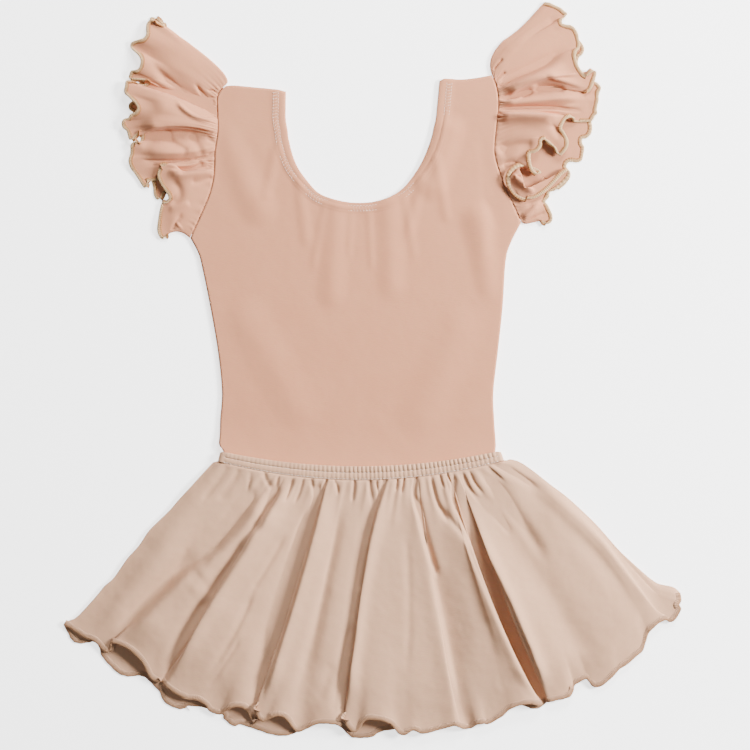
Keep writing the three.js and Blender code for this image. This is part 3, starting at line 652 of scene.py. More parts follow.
# The front layer's hem as it lies: the fold it belongs to, its place and its height
LEFT_SLEEVE_HEM = [
    (0, -166.4, 274.4, 1.2), (0.5, -171.2, 276.8, 2.6), (1, -176, 279.2, 3), (1.35, -179.2, 276, 3),
    (1.7, -179.6, 272, 4), (2, -179.6, 267.2, 5), (2.4, -181.6, 264, 5), (2.8, -185.6, 262.8, 4.4),
    (3.3, -190, 261.6, 3), (3.7, -192.4, 259.6, 2), (4, -192, 256.8, 2), (4.25, -189.2, 254, 3.4),
    (4.5, -186, 251.2, 5), (4.85, -184, 247.2, 6.2), (5.3, -184, 243.6, 6.4), (5.8, -185.2, 240.4, 6),
    (6.4, -188, 238.4, 5), (7, -191.6, 238, 3.6), (7.5, -192.8, 236, 2.8), (8, -193.4, 232.6, 2.6),
    (8.3, -186.8, 232, 4), (8.7, -180.4, 230.8, 4.6), (9, -179.2, 228.8, 2), (9.3, -184.4, 227.2, 1.2),
    (9.7, -192.4, 230, 2.8), (10, -196, 229.6, 4.4), (10.5, -196.4, 226, 5), (11, -197.2, 222.8, 5),
    (11.5, -196.4, 220, 5), (12, -194, 217.6, 5.6), (12.4, -190.8, 214.4, 7), (12.8, -188, 211.2, 8),
    (13.2, -186.4, 207.6, 8.6), (13.7, -188.4, 204.6, 8), (14.3, -192, 203, 7),
    (15, -194, 200.4, 5.6), (15.5, -197.6, 199.2, 4.4), (16, -199.2, 196.8, 4),
    (16.5, -198.4, 193.2, 3.8), (17, -195.6, 190.4, 3.6), (17.5, -194.4, 187.4, 3.6),
    (18, -192.8, 183.4, 3.4), (18.5, -188.2, 187.4, 3.6), (18.8, -185.2, 189.2, 3),
    (19.1, -183.6, 188, 1), (19.5, -184.4, 182.4, 1), (20, -187.2, 179.6, 3.6),
    (20.4, -189.4, 181, 4.4), (20.8, -192, 178.6, 4), (21.2, -192.2, 175.2, 3),
    (21.6, -192.4, 172, 2.4), (22, -193.6, 168.8, 2.8), (23, -193.6, 164.8, 2.6),
    (23.6, -192, 160.4, 2), (24, -189.6, 156.8, 1.7), (24.5, -185.6, 151.2, 1.1),
    (25, -181.6, 145.2, 0.7), (25.4, -179.6, 149.2, 0.6), (26, -176.4, 150.4, 0.7),
    (26.5, -170.8, 151.2, 0.6), (27, -163.6, 156.8, 0.8), (27.4, -161.6, 160, 3.8),
    (27.7, -164.8, 162, 5), (28, -168.4, 161.2, 5.2), (28.3, -170.4, 157.2, 5),
    (28.6, -170.4, 152.8, 4.4), (28.9, -168.4, 148, 4.2), (29.2, -165.2, 143.2, 4.4),
    (29.5, -162.4, 139.6, 5), (29.8, -161.6, 136, 5), (30.1, -164, 132.8, 3.6),
    (30.4, -167.2, 132, 2.4), (30.7, -168.4, 129.2, 2), (31, -169.6, 124, 2),
    (31.3, -170.4, 117.6, 2.6), (31.6, -170.8, 111.2, 2.4), (31.8, -169.6, 106.8, 1.7),
    (32, -167.6, 104.4, 1.3), (33, -166, 105.2, 1), (34, -165.2, 106, 1), (35, -164.8, 106.8, 1.15),
]
RIGHT_SLEEVE_HEM = [
    (0, 138.4, 293, 1.2), (0.5, 142, 292.4, 2.2), (1, 146.8, 290.4, 2.5), (1.5, 150.8, 288.4, 2.7),
    (2, 153.6, 286, 2.6), (2.6, 155.8, 284, 2.2), (3, 154, 281.2, 2.6), (3.5, 151.8, 278.8, 4),
    (4, 152, 276, 4.4), (4.4, 155.6, 274.8, 3.6), (4.8, 159.2, 274.2, 3), (5.3, 162.4, 272, 2.2),
    (5.8, 164.6, 268, 1.8), (6.2, 165.6, 263.6, 1.8), (6.6, 166.4, 259.6, 2.2), (7, 165.6, 256.4, 3.2),
    (7.4, 163.6, 254, 5), (7.8, 162.6, 250.4, 5.8), (8.4, 163.2, 246.4, 6), (9, 164.8, 242, 6),
    (9.5, 167.2, 238, 5.4), (10, 170.4, 234.8, 4.8), (10.4, 173.2, 234.8, 4.8), (10.7, 174.8, 236.6, 5),
    (11, 176.4, 237.4, 5), (11.4, 179.2, 237.4, 4.4), (11.7, 178.8, 233.6, 4.2), (12, 177.2, 228.8, 4),
    (12.4, 175.6, 224.4, 3.6), (12.7, 173.2, 221.6, 2.8), (12.95, 170.8, 223.2, 1.4),
    (13.2, 173.2, 227.2, 0.5), (13.6, 178.4, 229.6, 0.5), (14, 182.4, 226.4, 0.7),
    (14.4, 183, 223.6, 0.9), (15, 181.6, 221.2, 1.2), (15.5, 181.2, 218.4, 1.6), (16, 181.2, 215.2, 2),
    (16.6, 180.4, 211.2, 1.8), (17, 179.6, 207.2, 1.5), (17.4, 180, 204.4, 1.4),
    (17.8, 178.4, 202.8, 1.2), (18.2, 176.8, 200, 1), (18.6, 174.8, 198, 0.6), (19, 169.2, 197.6, 0.4),
    (19.5, 162.8, 198, 2.6), (20, 161.8, 200.2, 5.4), (20.3, 158.4, 201.1, 6.4),
    (20.6, 155.2, 199.6, 6.8), (21, 152.8, 196, 7), (21.3, 151.6, 192, 6.8), (21.6, 153.6, 188.8, 6.2),
    (22, 155.6, 185.2, 5.8), (22.4, 156.6, 181.6, 5.6), (22.8, 156.4, 178, 5.6),
    (23.2, 154.8, 174.8, 5.4), (23.6, 152.8, 172.4, 5), (24, 150.8, 170.8, 4.6),
    (24.3, 148.4, 172.4, 5), (24.6, 147.2, 175.6, 6), (25, 144.4, 178.8, 6.8),
    (25.4, 140.8, 181.8, 7.2), (25.8, 137.6, 183.2, 7.4), (26.1, 135.6, 182, 7.4),
    (26.4, 135.4, 178.4, 7), (26.8, 133.2, 174.8, 6.6), (27.1, 130, 173, 6.2), (27.4, 126.6, 172, 6),
    (27.8, 126.4, 168, 6.2), (28.1, 127.2, 163.2, 6.4), (28.4, 128.8, 159.2, 6.2),
    (28.7, 132, 156, 5.6), (28.95, 135.2, 157, 5), (29.2, 131.6, 160, 3.4), (29.4, 126, 161.4, 4.2),
    (29.55, 120.4, 162.2, 4.8), (29.7, 116, 160.8, 5.2), (29.85, 112.4, 158, 5.4),
    (30, 110, 153.6, 5.4), (30.2, 110.4, 148, 5.2), (30.4, 112.8, 143.6, 5), (30.7, 117.2, 138.8, 4.8),
    (31, 122.8, 136.3, 4.8), (31.4, 129.2, 136.3, 4.8), (31.8, 135.6, 139.6, 4.8),
    (32.2, 141.2, 144.2, 4.8), (32.6, 146.4, 149.6, 4.8), (33, 151.6, 155.2, 5),
    (33.4, 157.2, 158.4, 4.6), (33.6, 158, 154.4, 2.6), (33.8, 152.4, 148, 1.4),
    (34, 146.8, 143.2, 1.2), (34.4, 142.4, 141.6, 1.2), (34.7, 141.2, 137.6, 1.2),
    (35, 138.4, 134, 1.2), (35.4, 140.4, 131.2, 2), (35.7, 142.4, 127.2, 2.4), (36, 144.2, 122.4, 2),
    (36.3, 144, 118.4, 1.6), (36.6, 141.2, 116.2, 1.5), (37, 138.4, 117.6, 1.4),
    (37.5, 137.6, 118.8, 1.2), (38, 137.2, 119.6, 1.15),
]

# The back layer's hem: the row of the back it belongs to and its place
LEFT_SLEEVE_BACK_HEM = [
    (0, -166.4, 275.2), (0.25, -171, 278.8), (0.5, -175, 281), (0.75, -177.2, 279.2),
    (0.9, -176.4, 269.6), (1.1, -180.4, 258.4), (1.4, -178.8, 248.8), (1.8, -180.4, 237.6),
    (2.2, -186, 228), (2.6, -190, 221.6), (2.85, -190, 215.2), (3, -193.6, 212), (3.1, -193.6, 208),
    (3.25, -190, 204.8), (3.6, -188.4, 199.2), (4, -191.6, 194.4), (4.4, -186.8, 188),
    (4.7, -182.8, 182.4), (5, -183.6, 175.2), (5.3, -184.4, 167.2), (5.7, -179.6, 157.6),
    (6, -176, 151.2), (6.3, -174.4, 145.6), (6.6, -174, 140), (6.9, -171.6, 136), (7.15, -168.8, 137.6),
    (7.4, -166, 142.4), (7.6, -160.4, 142.4), (7.8, -158.4, 135.2), (8.1, -162.8, 129.6),
    (8.4, -166, 124), (8.7, -167.2, 116), (8.9, -166.8, 108.8), (9, -164.8, 106.8),
]
RIGHT_SLEEVE_BACK_HEM = [
    (0, 138.4, 293), (0.3, 144.4, 289.6), (0.6, 150, 284.8), (0.8, 148.4, 277.6), (1.1, 155.6, 272),
    (1.5, 162, 265.6), (1.8, 167.6, 260.8), (2, 169.8, 256), (2.15, 168.4, 252), (2.3, 165.6, 249.6),
    (2.5, 164.4, 244), (2.8, 166.8, 237.6), (3, 172.4, 232.8), (3.3, 174.8, 226.4), (3.6, 177.2, 218.4),
    (4, 175.6, 210.4), (4.4, 174, 204), (4.65, 175.2, 198.4), (4.8, 176, 192.8), (4.95, 174.8, 188),
    (5.2, 171.6, 185), (5.45, 168.4, 184.4), (5.7, 168, 180.8), (5.9, 169.8, 177.2), (6.1, 169.2, 172),
    (6.3, 168, 167.2), (6.5, 164.4, 165.6), (6.75, 159.2, 166.2), (6.95, 156.4, 164.8),
    (7.1, 155.4, 161.6), (7.3, 158.4, 157.6), (7.5, 158.4, 153.6), (7.8, 155.2, 148.8),
    (8.1, 151.4, 145.2), (8.3, 149, 143.8), (8.5, 145.6, 148.4), (8.8, 142, 141.6), (9, 141.6, 137.6),
    (9.25, 137.2, 132.8), (9.5, 135.6, 127.2), (9.75, 135.6, 122.4), (10, 137.2, 119.6),
    (11, 137, 119.2), (12, 137.2, 118.8),
]

# Creases and ridges: where each starts, bends and ends, its height, and its reach on its left and right
LEFT_SLEEVE_CREASES = [
    (-113.2, 200.8, -150, 219.2, -185.2, 255.2, -2.9, 4, 3.2),
    (-177.2, 236, -159.6, 224.8, -140.4, 212.8, 1.3, 3.2, 4),
    (-122.8, 206.4, -159.6, 220, -188.4, 228, -3.4, 1.6, 4.8),
    (-123.6, 200.8, -140.4, 201.6, -156.4, 215.2, 2.7, 2.4, 1.1),
    (-124.4, 213.6, -132.4, 216, -142, 229.6, -2, 1, 2.8),
    (-122, 218.4, -126.8, 222.4, -130.8, 221.6, -1.3, 0.8, 1.1),
    (-122, 216, -126, 216.8, -130.8, 216, -1.3, 0.8, 1),
    (-121.2, 208.8, -126, 210.4, -133.2, 209.6, -1.1, 0.8, 1),
    (-121.2, 204.8, -127.6, 206.4, -137.2, 208, 1.1, 0.8, 1.1),
    (-121.2, 199.2, -126, 200.8, -134, 200, -1.1, 0.8, 1),
    (-122, 188.8, -153.2, 194, -185.2, 190, 3.4, 0.9, 7.2),
    (-119.6, 194.4, -145.2, 202.4, -177.2, 212.8, 1.6, 7.2, 7.2),
    (-185.2, 177.6, -172.4, 184, -159.6, 191.2, -2.4, 3.2, 4),
    (-169.2, 186.4, -156.4, 179.2, -145.2, 172.8, -1.6, 2.4, 4),
    (-146.8, 188.8, -139.6, 179.2, -134.8, 169.6, -1.3, 3.2, 3.2),
    (-132.4, 187.2, -128.4, 182.4, -124.4, 180.8, -1.1, 1.6, 1.6),
    (-122, 176.8, -153.2, 173.2, -185.2, 172.4, 2.1, 3.2, 4.8),
    (-122, 172.8, -133.2, 169.2, -145.2, 167.8, -2.7, 1.3, 1),
    (-141.2, 167.8, -162.8, 166.8, -186.8, 167.6, -2.3, 2.1, 0.8),
    (-119.6, 175.2, -124.4, 173.6, -132.4, 171.2, -1.9, 1, 1),
    (-134, 168, -147.6, 162.4, -170.8, 164.4, 1.7, 1.3, 0.8),
    (-134.8, 167.2, -143.6, 160.8, -154.8, 158, -2.9, 2.4, 1.6),
    (-122.8, 160.8, -145.2, 156.6, -162.8, 159.6, 2.7, 4.8, 0.8),
    (-123.6, 167.2, -127.6, 165.6, -132.4, 166.4, -1.2, 0.8, 0.8),
    (-122.8, 164.8, -127.6, 163.2, -131.6, 161.6, -1.2, 0.8, 0.8),
    (-162.8, 152.8, -153.2, 140, -162.8, 130.4, -2, 4, 4),
    (-162.8, 128.8, -153.2, 130.4, -145.2, 133.6, 1.1, 1.6, 3.2),
    (-159.6, 110.4, -157.2, 116, -150.8, 125.6, -1.1, 1.6, 2.4),
    (-156.4, 117.6, -153.2, 113.6, -150, 109.6, 0.8, 1.1, 1.1),
    (-145.2, 149.6, -135.6, 150.4, -126, 154.4, -1.1, 2.4, 2.4),
]
RIGHT_SLEEVE_CREASES = [
    (101.2, 226.4, 126.8, 238.4, 160.4, 256.8, -4.1, 4.8, 3.2),
    (101.2, 224.8, 126.8, 232.8, 162.8, 245.6, 3.7, 4, 4.8),
    (101.2, 225.6, 106, 228, 112.4, 230, -2.8, 1, 1),
    (142, 282.4, 146, 275.2, 147.6, 268, -3.2, 4, 3.2),
    (97.2, 238.4, 101.2, 244, 105.2, 248, -1.4, 1, 1.1),
    (98, 229.6, 102.8, 234.4, 107.6, 237.6, -1.4, 1, 1.1),
    (109.2, 216.8, 131.6, 230.2, 171.6, 235.5, 4.1, 4.8, 1),
    (138.8, 232.6, 157.2, 228.4, 176.4, 221.6, 3.7, 3.2, 0.8),
    (101.2, 216, 117.2, 218.6, 128.4, 223.6, -5.1, 1.8, 2.4),
    (128.4, 224.8, 141.2, 226.4, 155.6, 222.4, -3.4, 2.4, 3.2),
    (101.2, 214, 112.4, 214.7, 122, 218.4, 2.3, 1, 1),
    (100.4, 211.6, 134.8, 214.4, 173.2, 218.4, 3.7, 3.2, 3.2),
    (100.4, 207.2, 130.8, 208.8, 171.6, 205.6, -5.5, 1.8, 1.1),
    (100.4, 205.6, 134.8, 206, 171.6, 212, 1.8, 1.9, 1.9),
    (98.8, 203, 126.8, 203, 156.4, 200.4, 5.1, 0.8, 5.6),
    (98.8, 205.2, 102, 204.4, 106, 202.4, -2.1, 0.8, 0.8),
    (98, 201.2, 101.2, 200.8, 104.4, 201.3, -2.1, 0.8, 0.8),
    (174.8, 215.2, 174.8, 208.8, 173.2, 202.4, -2.8, 2.4, 2.4),
    (144.4, 197.6, 148.4, 189.6, 150.8, 183.2, -2.8, 4.8, 3.2),
    (99.6, 173.6, 115.6, 178.4, 131.6, 177.6, -3.2, 4.8, 6.4),
    (104.4, 160.8, 115.6, 166.4, 126, 169.6, -2.8, 3.2, 3.2),
    (106.8, 143.2, 110, 152.8, 115.6, 160.8, -1.8, 2.4, 1.6),
    (112.4, 156, 120.4, 149.2, 132.4, 139.6, 4.1, 0.8, 4),
    (112.4, 153.6, 120.4, 155.8, 129.2, 157.3, 2.8, 2.4, 0.8),
    (120.4, 119.2, 129.2, 127.2, 139.6, 136.8, 2.3, 2.4, 2.4),
    (122, 117.6, 131.6, 122.4, 139.6, 125.6, -1.8, 1.1, 1.1),
]


def profile(stops, values, v):
    """Smooth curves through rows of values at the given stops, with one column of values for each v."""
    stops = np.asarray(stops, float)
    values = np.asarray(values, float)
    last = len(stops) - 1
    k = np.clip(np.searchsorted(stops, v, side="right") - 1, 0, last - 1)
    span = stops[k + 1] - stops[k]
    t = np.clip((v - stops[k]) / span, 0, 1)
    slopes = []
    for n in range(last + 1):
        before, after = max(0, n - 1), min(last, n + 1)
        slopes.append((values[after] - values[before]) / (stops[after] - stops[before]))
    slopes = np.array(slopes)
    each = np.arange(len(v))
    a, b = values[k, each], values[k + 1, each]
    m0, m1 = slopes[k, each] * span, slopes[k + 1, each] * span
    return a + t * (m0 + t * (3 * (b - a) - 2 * m0 - m1 + t * (2 * (a - b) + m0 + m1)))


def fold_line(root_x, root_y, mid_x, mid_y, hem_x, hem_y, v):
    a, b, c = (1 - v) * (1 - 2 * v), 4 * v * (1 - v), v * (2 * v - 1)
    return a * root_x + b * mid_x + c * hem_x, a * root_y + b * mid_y + c * hem_y


def seam_root(seam, side, share):
    """The sleeve's root, just outside the armhole's edge."""
    place = point_on(seam, share)
    above, below = point_on(seam, share - 0.03), point_on(seam, share + 0.03)
    length = np.hypot(*(below - above).T)
    x = place[:, 0] + side * 0.5 * (above[:, 1] - below[:, 1]) / length
    y = place[:, 1] + side * 0.5 * (below[:, 0] - above[:, 0]) / length
    return x, y


def by_key(rows, key):
    """Rows whose first column is a key, on a smooth curve through them."""
    keys = [row[0] for row in rows]
    return row_at(rows, np.interp(key, keys, range(len(rows))))


def crease_lift(x, y, creases, steps=16):
    """The lift of curved creases, each steeper on one side than on the other and tapering at both ends."""
    lift = np.zeros(len(x))
    t = np.linspace(0, 1, steps + 1)
    for from_x, from_y, bend_x, bend_y, to_x, to_y, height, left_reach, right_reach in creases:
        line_x, line_y = fold_line(from_x, from_y, bend_x, bend_y, to_x, to_y, t)
        nearest = np.full(len(x), 1e9)
        reach = np.full(len(x), left_reach)
        along = np.zeros(len(x))
        for k in range(steps):
            dx, dy = line_x[k + 1] - line_x[k], line_y[k + 1] - line_y[k]
            part = ((x - line_x[k]) * dx + (y - line_y[k]) * dy) / (dx * dx + dy * dy)
            kept = np.clip(part, 0, 1)
            away = np.hypot(x - line_x[k] - kept * dx, y - line_y[k] - kept * dy)
            closer = away < nearest
            on_left = dx * (y - line_y[k]) - dy * (x - line_x[k]) > 0
            nearest[closer] = away[closer]
            reach[closer] = np.where(on_left, left_reach, right_reach)[closer]
            along[closer] = (k + kept[closer]) / steps
        taper = smooth(0, 0.2, along) * smooth(0, 0.2, 1 - along)
        lift += height * taper * np.exp(-((nearest / reach) ** 2))
    return lift


def sleeve_place(seam, side, tables, ripples, bows):
    """The place function of a sleeve. Its share runs from the top fold down the front and up the back again.

    The bows are how far the top fold lies from a plain curve, near the shoulder and near the hem; the first
    one's peak is nearer to the shoulder with a lower power.
    """
    folds, back, hem, back_hem, creases = tables
    first, last = back[0], back[-1]
    front_rows = [(*first, 0, 0, 0), *folds, (*last, 0, 0, 0)]
    count = len(front_rows) - 1
    keys = [row[0] for row in back]

    def place(share, v):
        share = share % 1.0
        front = share <= FRONT_PART
        along = np.where(front, share / FRONT_PART, 0) * count
        rows = row_at(front_rows, along)
        back_share = np.clip(1 - (share - FRONT_PART) / (1 - FRONT_PART), 0, 1)
        back_row = back_share * (len(back) - 1)
        picked = np.where(front[:, None], rows[:, :5], row_at(back, back_row))
        root = np.clip(picked[:, 0], 0, 1)
        root_x, root_y = seam_root(seam, side, root)
        x, y = fold_line(root_x, root_y, picked[:, 1], picked[:, 2], picked[:, 3], picked[:, 4], v)
        front_hem = by_key(hem, along)
        edge = np.where(front[:, None], front_hem[:, 1:3], by_key(back_hem, back_row)[:, 1:3])
        from_top = np.where(front, along / 2.5, back_row / 0.8)
        power, near, far = bows
        half_wave = np.where(v < 0.5, (2 * v) ** power, 2 * v - 1)
        bow = np.sin(math.pi * half_wave) * (1 - smooth(0, 1, from_top))
        x = x + bow * np.where(v < 0.5, near[0], far[0])
        y = y + bow * np.where(v < 0.5, near[1], far[1])
        settle = smooth(0.45, 1, v)
        x = x + (edge[:, 0] - picked[:, 3]) * settle
        y = y + (edge[:, 1] - picked[:, 4]) * settle
        lift = profile([0, 0.3, 0.6, 1], np.vstack([0 * v, rows[:, 5:8].T]), v)
        near_fold = np.minimum(along, count - along)
        front_z = EDGE_Z + (FRONT_Z - EDGE_Z) * np.sin(np.clip(near_fold / 0.35, 0, 1) * math.pi / 2)
        calm = smooth(0.2, 1.5, near_fold)
        gather = np.sin(share * ripples[0]) * np.sin(share * ripples[1] + 0.7)
        front_z = front_z + np.maximum(lift, 0)
        front_z = front_z + calm * 0.5 * (1 + gather) * np.exp(-v / 0.1) * smooth(0, 0.03, v)
        front_z = front_z + calm * crease_lift(x, y, creases) * (1 - smooth(0.9, 1, v))
        front_z = front_z + (front_hem[:, 3] - front_z) * smooth(0.6, 1, v)
        front_z = np.where(near_fold > 0.6, np.maximum(front_z, BACK_Z + CLOTH + 0.15), front_z)
        turn = np.clip(np.minimum(back_share, 1 - back_share) * 60, 0, 1)
        back_z = EDGE_Z + (BACK_Z - EDGE_Z) * np.sin(turn * math.pi / 2)
        return np.stack([x, y, np.where(front, front_z, back_z)], axis=-1)

    return place


def sleeve(name, node, place):
    made = cloth_grid(name, 480, 78, place, (0.36, 0.06), loop=True)
    sew_in(made, node, pink_jersey)
    return made


def overlock(name, place, length, material, closed=True, steps=900, half=1.8, high=0.85):
    """The thread wrapped round a hem: a flat double bead along the cloth's edge, closed at its ends."""
    def around(share, turn):
        step = 0.0015
        edge, inside = place(share, np.full(len(share), 1.0)), place(share, np.full(len(share), 0.965))
        later = share + step if closed else np.minimum(share + step, 1)
        earlier = share - step if closed else np.maximum(share - step, 0)
        tangent = place(later, np.full(len(share), 1.0)) - place(earlier, np.full(len(share), 1.0))
        tangent /= np.linalg.norm(tangent, axis=1)[:, None] + 1e-9
        out = edge - inside
        out -= tangent * (out * tangent).sum(axis=1)[:, None]
        out /= np.linalg.norm(out, axis=1)[:, None] + 1e-9
        up = np.cross(tangent, out)
        angle = turn * 2 * math.pi
        slow, quick = round(length / 46) * 2 * math.pi, round(length / 19) * 2 * math.pi
        swell = 1 + 0.1 * np.sin(share * slow) * np.sin(share * quick)
        wide = half * swell * np.cos(angle)
        thick = high * swell * np.sign(np.sin(angle)) * abs(np.sin(angle)) ** 0.7
        groove = 1 - 0.22 * np.exp(-(((wide + 0.2) / 0.35) ** 2))
        made = edge - out * (half - 0.5) + out * wide[:, None] + up * (thick * groove)[:, None]
        lowest = np.where(edge[:, 2] < 2, np.maximum(edge[:, 2] - 1.25, 0.02), 0.02)
        made[:, 2] = np.maximum(made[:, 2], lowest + 0.04 * turn)
        return made

    made = cloth_grid(name, steps, 14, around, (length * MM, 1), loop=True)
    close_tube(made)
    made.data.materials.append(material)
    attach(made, "root")
    return made


def overlock_thread(name, outer, inner):
    """Close turns of thread over the cloth's edge, in one colour outside and another towards the cloth; a
    dark inner colour is painted shade, the shadow of the bead on the cloth, laid over the thread's own tone.
    """
    material, tree, shader = start_material(name, {"Roughness": 0.8, "Specular IOR Level": 0.2})
    weave = add_node(tree, "UVMap")
    weave.uv_map = "Cloth"
    parts = add_node(tree, "SeparateXYZ")
    tree.links.new(weave.outputs["UV"], parts.inputs["Vector"])
    across = add_node(tree, "Math")
    across.operation = "PINGPONG"
    across.inputs[1].default_value = 0.5
    tree.links.new(parts.outputs["Y"], across.inputs[0])
    strip = add_node(tree, "ValToRGB")
    for stop, position, colour in zip(strip.color_ramp.elements, (0.16, 0.36), (outer, inner)):
        stop.position = position
        stop.color = linear(*colour)
    tree.links.new(across.outputs["Value"], strip.inputs["Fac"])
    turns = add_node(tree, "TexWave", Scale=300, Distortion=1.2, Detail=1)
    tree.links.new(weave.outputs["UV"], turns.inputs["Vector"])
    speckle = mix_colours(tree, 0.3, strip.outputs["Color"], turns.outputs["Color"], "MULTIPLY")
    tree.links.new(speckle, shader.inputs["Base Color"])
    bump = add_node(tree, "Bump", Strength=0.6, Distance=0.0003)
    tree.links.new(turns.outputs["Fac"], bump.inputs["Height"])
    tree.links.new(bump.outputs["Normal"], shader.inputs["Normal"])
    return material


# The sleeves' bead: tan thread outside; inside, a dark rust that is the thread's tone darkened with painted
# shade for the bead's shadow on the cloth.
tan_overlock_and_painted_shade = overlock_thread("tan_overlock_and_painted_shade", (204, 168, 124), (168, 110, 66))
LEFT_TABLES = (
    LEFT_SLEEVE_FOLDS, LEFT_SLEEVE_BACK, LEFT_SLEEVE_HEM, LEFT_SLEEVE_BACK_HEM, LEFT_SLEEVE_CREASES
)
RIGHT_TABLES = (
    RIGHT_SLEEVE_FOLDS, RIGHT_SLEEVE_BACK, RIGHT_SLEEVE_HEM, RIGHT_SLEEVE_BACK_HEM, RIGHT_SLEEVE_CREASES
)
left_place = sleeve_place(LEFT_SEAM, -1, LEFT_TABLES, (330, 71), (0.45, (3.6, 1.5), (-0.5, -0.6)))
right_place = sleeve_place(RIGHT_SEAM, 1, RIGHT_TABLES, (310, 83), (1, (-1.5, 0.3), (2.6, -2.8)))
sleeve_left = sleeve("sleeve_left_cloth", "sleeve_left", left_place)
sleeve_right = sleeve("sleeve_right_cloth", "sleeve_right", right_place)
left_edge = overlock("sleeve_left_overlock", left_place, 620, tan_overlock_and_painted_shade)
right_edge = overlock("sleeve_right_overlock", right_place, 640, tan_overlock_and_painted_shade)

# The waistband
# A casing of the skirt's own jersey with a flat elastic in it, a closed loop round the leotard's waist.
# Two rows of stitches run through it, and the elastic draws it into fine upright ribs.

BAND_THICK = 1.6
BAND_FRONT_Z = 5.6
BAND_BACK_Z = 0.9
WAIST_CENTRE_X = -10
WAIST_HALF_WIDTH = 112
WAIST_SAG = 13.5
WAIST_Y = -83.2
BAND_LEFT = (-121.9, -120.3)
BAND_RIGHT = (105, 102.6)
BAND_RIBS = 65
BAND_FRONT_END = 0.78
BAND_TURN = 0.02
ROW_HIGH = 0.54
ROW_LOW = 0.07


def waist_sag(x):
    return ((x - WAIST_CENTRE_X) / WAIST_HALF_WIDTH) ** 2


def band_y(x, up):
    half = 5.4 - 1.2 * waist_sag(x)
    return WAIST_Y + WAIST_SAG * waist_sag(x) + half * (2 * up - 1)


def band_corner(x, up):
    """How far the casing's upper edge falls at its two rounded ends."""
    fall = 2.6 * smooth(0, 4, -118.4 - x) + 1.2 * smooth(0, 3.5, x - 99.5)
    return fall * np.clip((up - ROW_HIGH) / (1 - ROW_HIGH), 0, 1)


def band_relief(across, up):
    """The relief of the front strip: ribs that fade to the left, a puffed casing and two sunk rows."""
    strength = 0.25 + 0.75 * smooth(0.15, 0.6, across)
    ribs = 0.5 + 0.5 * np.cos(across * BAND_RIBS * 2 * math.pi + 0.9 * np.sin(across * 23))
    band = np.where(up > ROW_HIGH, 1, 0.55)
    puff = 0.35 * np.sin(np.clip((up - ROW_HIGH) / (1 - ROW_HIGH), 0, 1) * math.pi)
    puff += 0.25 * np.sin(np.clip((up - ROW_LOW) / (ROW_HIGH - ROW_LOW), 0, 1) * math.pi)
    sunk = 0.4 * np.exp(-(((up - ROW_HIGH) / 0.05) ** 2)) + 0.35 * np.exp(-(((up - ROW_LOW) / 0.05) ** 2))
    return 0.6 * strength * ribs * band + puff - sunk


def band_place(share, up):
    bend = (BAND_FRONT_Z - BAND_BACK_Z) / 2
    middle = (BAND_FRONT_Z + BAND_BACK_Z) / 2
    left = BAND_LEFT[0] + (BAND_LEFT[1] - BAND_LEFT[0]) * up + bend
    right = BAND_RIGHT[0] + (BAND_RIGHT[1] - BAND_RIGHT[0]) * up - bend
    share = share % 1.0
    back_start, back_end = BAND_FRONT_END + BAND_TURN, 1 - BAND_TURN
    front = np.clip(share / BAND_FRONT_END, 0, 1)
    turn_right = np.clip((share - BAND_FRONT_END) / BAND_TURN, 0, 1)
    behind = np.clip((share - back_start) / (back_end - back_start), 0, 1)
    turn_left = np.clip((share - back_end) / BAND_TURN, 0, 1)
    on_front, on_right, on_back = share < BAND_FRONT_END, share < back_start, share < back_end
    edge = smooth(0, 0.02, np.minimum(front, 1 - front))
    x = np.where(
        on_front, left + (right - left) * front,
        np.where(
            on_right, right + bend * np.sin(turn_right * math.pi),
            np.where(on_back, right + (left - right) * behind, left - bend * np.sin(turn_left * math.pi)),
        ),
    )
    z = np.where(
        on_front, BAND_FRONT_Z + band_relief(front, up) * edge,
        np.where(
            on_right, middle + bend * np.cos(turn_right * math.pi),
            np.where(on_back, BAND_BACK_Z, middle - bend * np.cos(turn_left * math.pi)),
        ),
    )
    return np.stack([x, band_y(x, up) - band_corner(x, up), z], axis=-1)


beige_jersey = jersey("beige_jersey", (200, 157, 126), (194, 150, 119), 0.0009)
waistband = cloth_grid("waistband_casing", 900, 20, band_place, (0.47, 0.011), loop=True)
sew_in(waistband, "waistband", beige_jersey, BAND_THICK)
beige_thread = thread_material("beige_thread", (226, 205, 190))
band_runs = []
for row in (ROW_HIGH, ROW_LOW):
    for x in np.arange(-118.8, 99.5, STITCH_PITCH):
        ends = np.array([x + 0.25, x + 2.2])
        across = (ends + 123) / 226
        y = band_y(ends, row)
        z = BAND_FRONT_Z + BAND_THICK / 2 + band_relief(across, np.full(2, row)) + 0.12
        band_runs.append(((ends[0], y[0], z[0]), (ends[1], y[1], z[1])))
band_stitches = stitches("waistband_stitches", band_runs, 0.26, beige_thread)

# The skirt's front
# A flared panel of the beige jersey, gathered into the casing, with an overlocked hem that ripples.
# It falls in deep folds: broad panels lie over sharp valleys, and a narrow slit opens on the right.

SKIRT_OVER_Z = 4.4

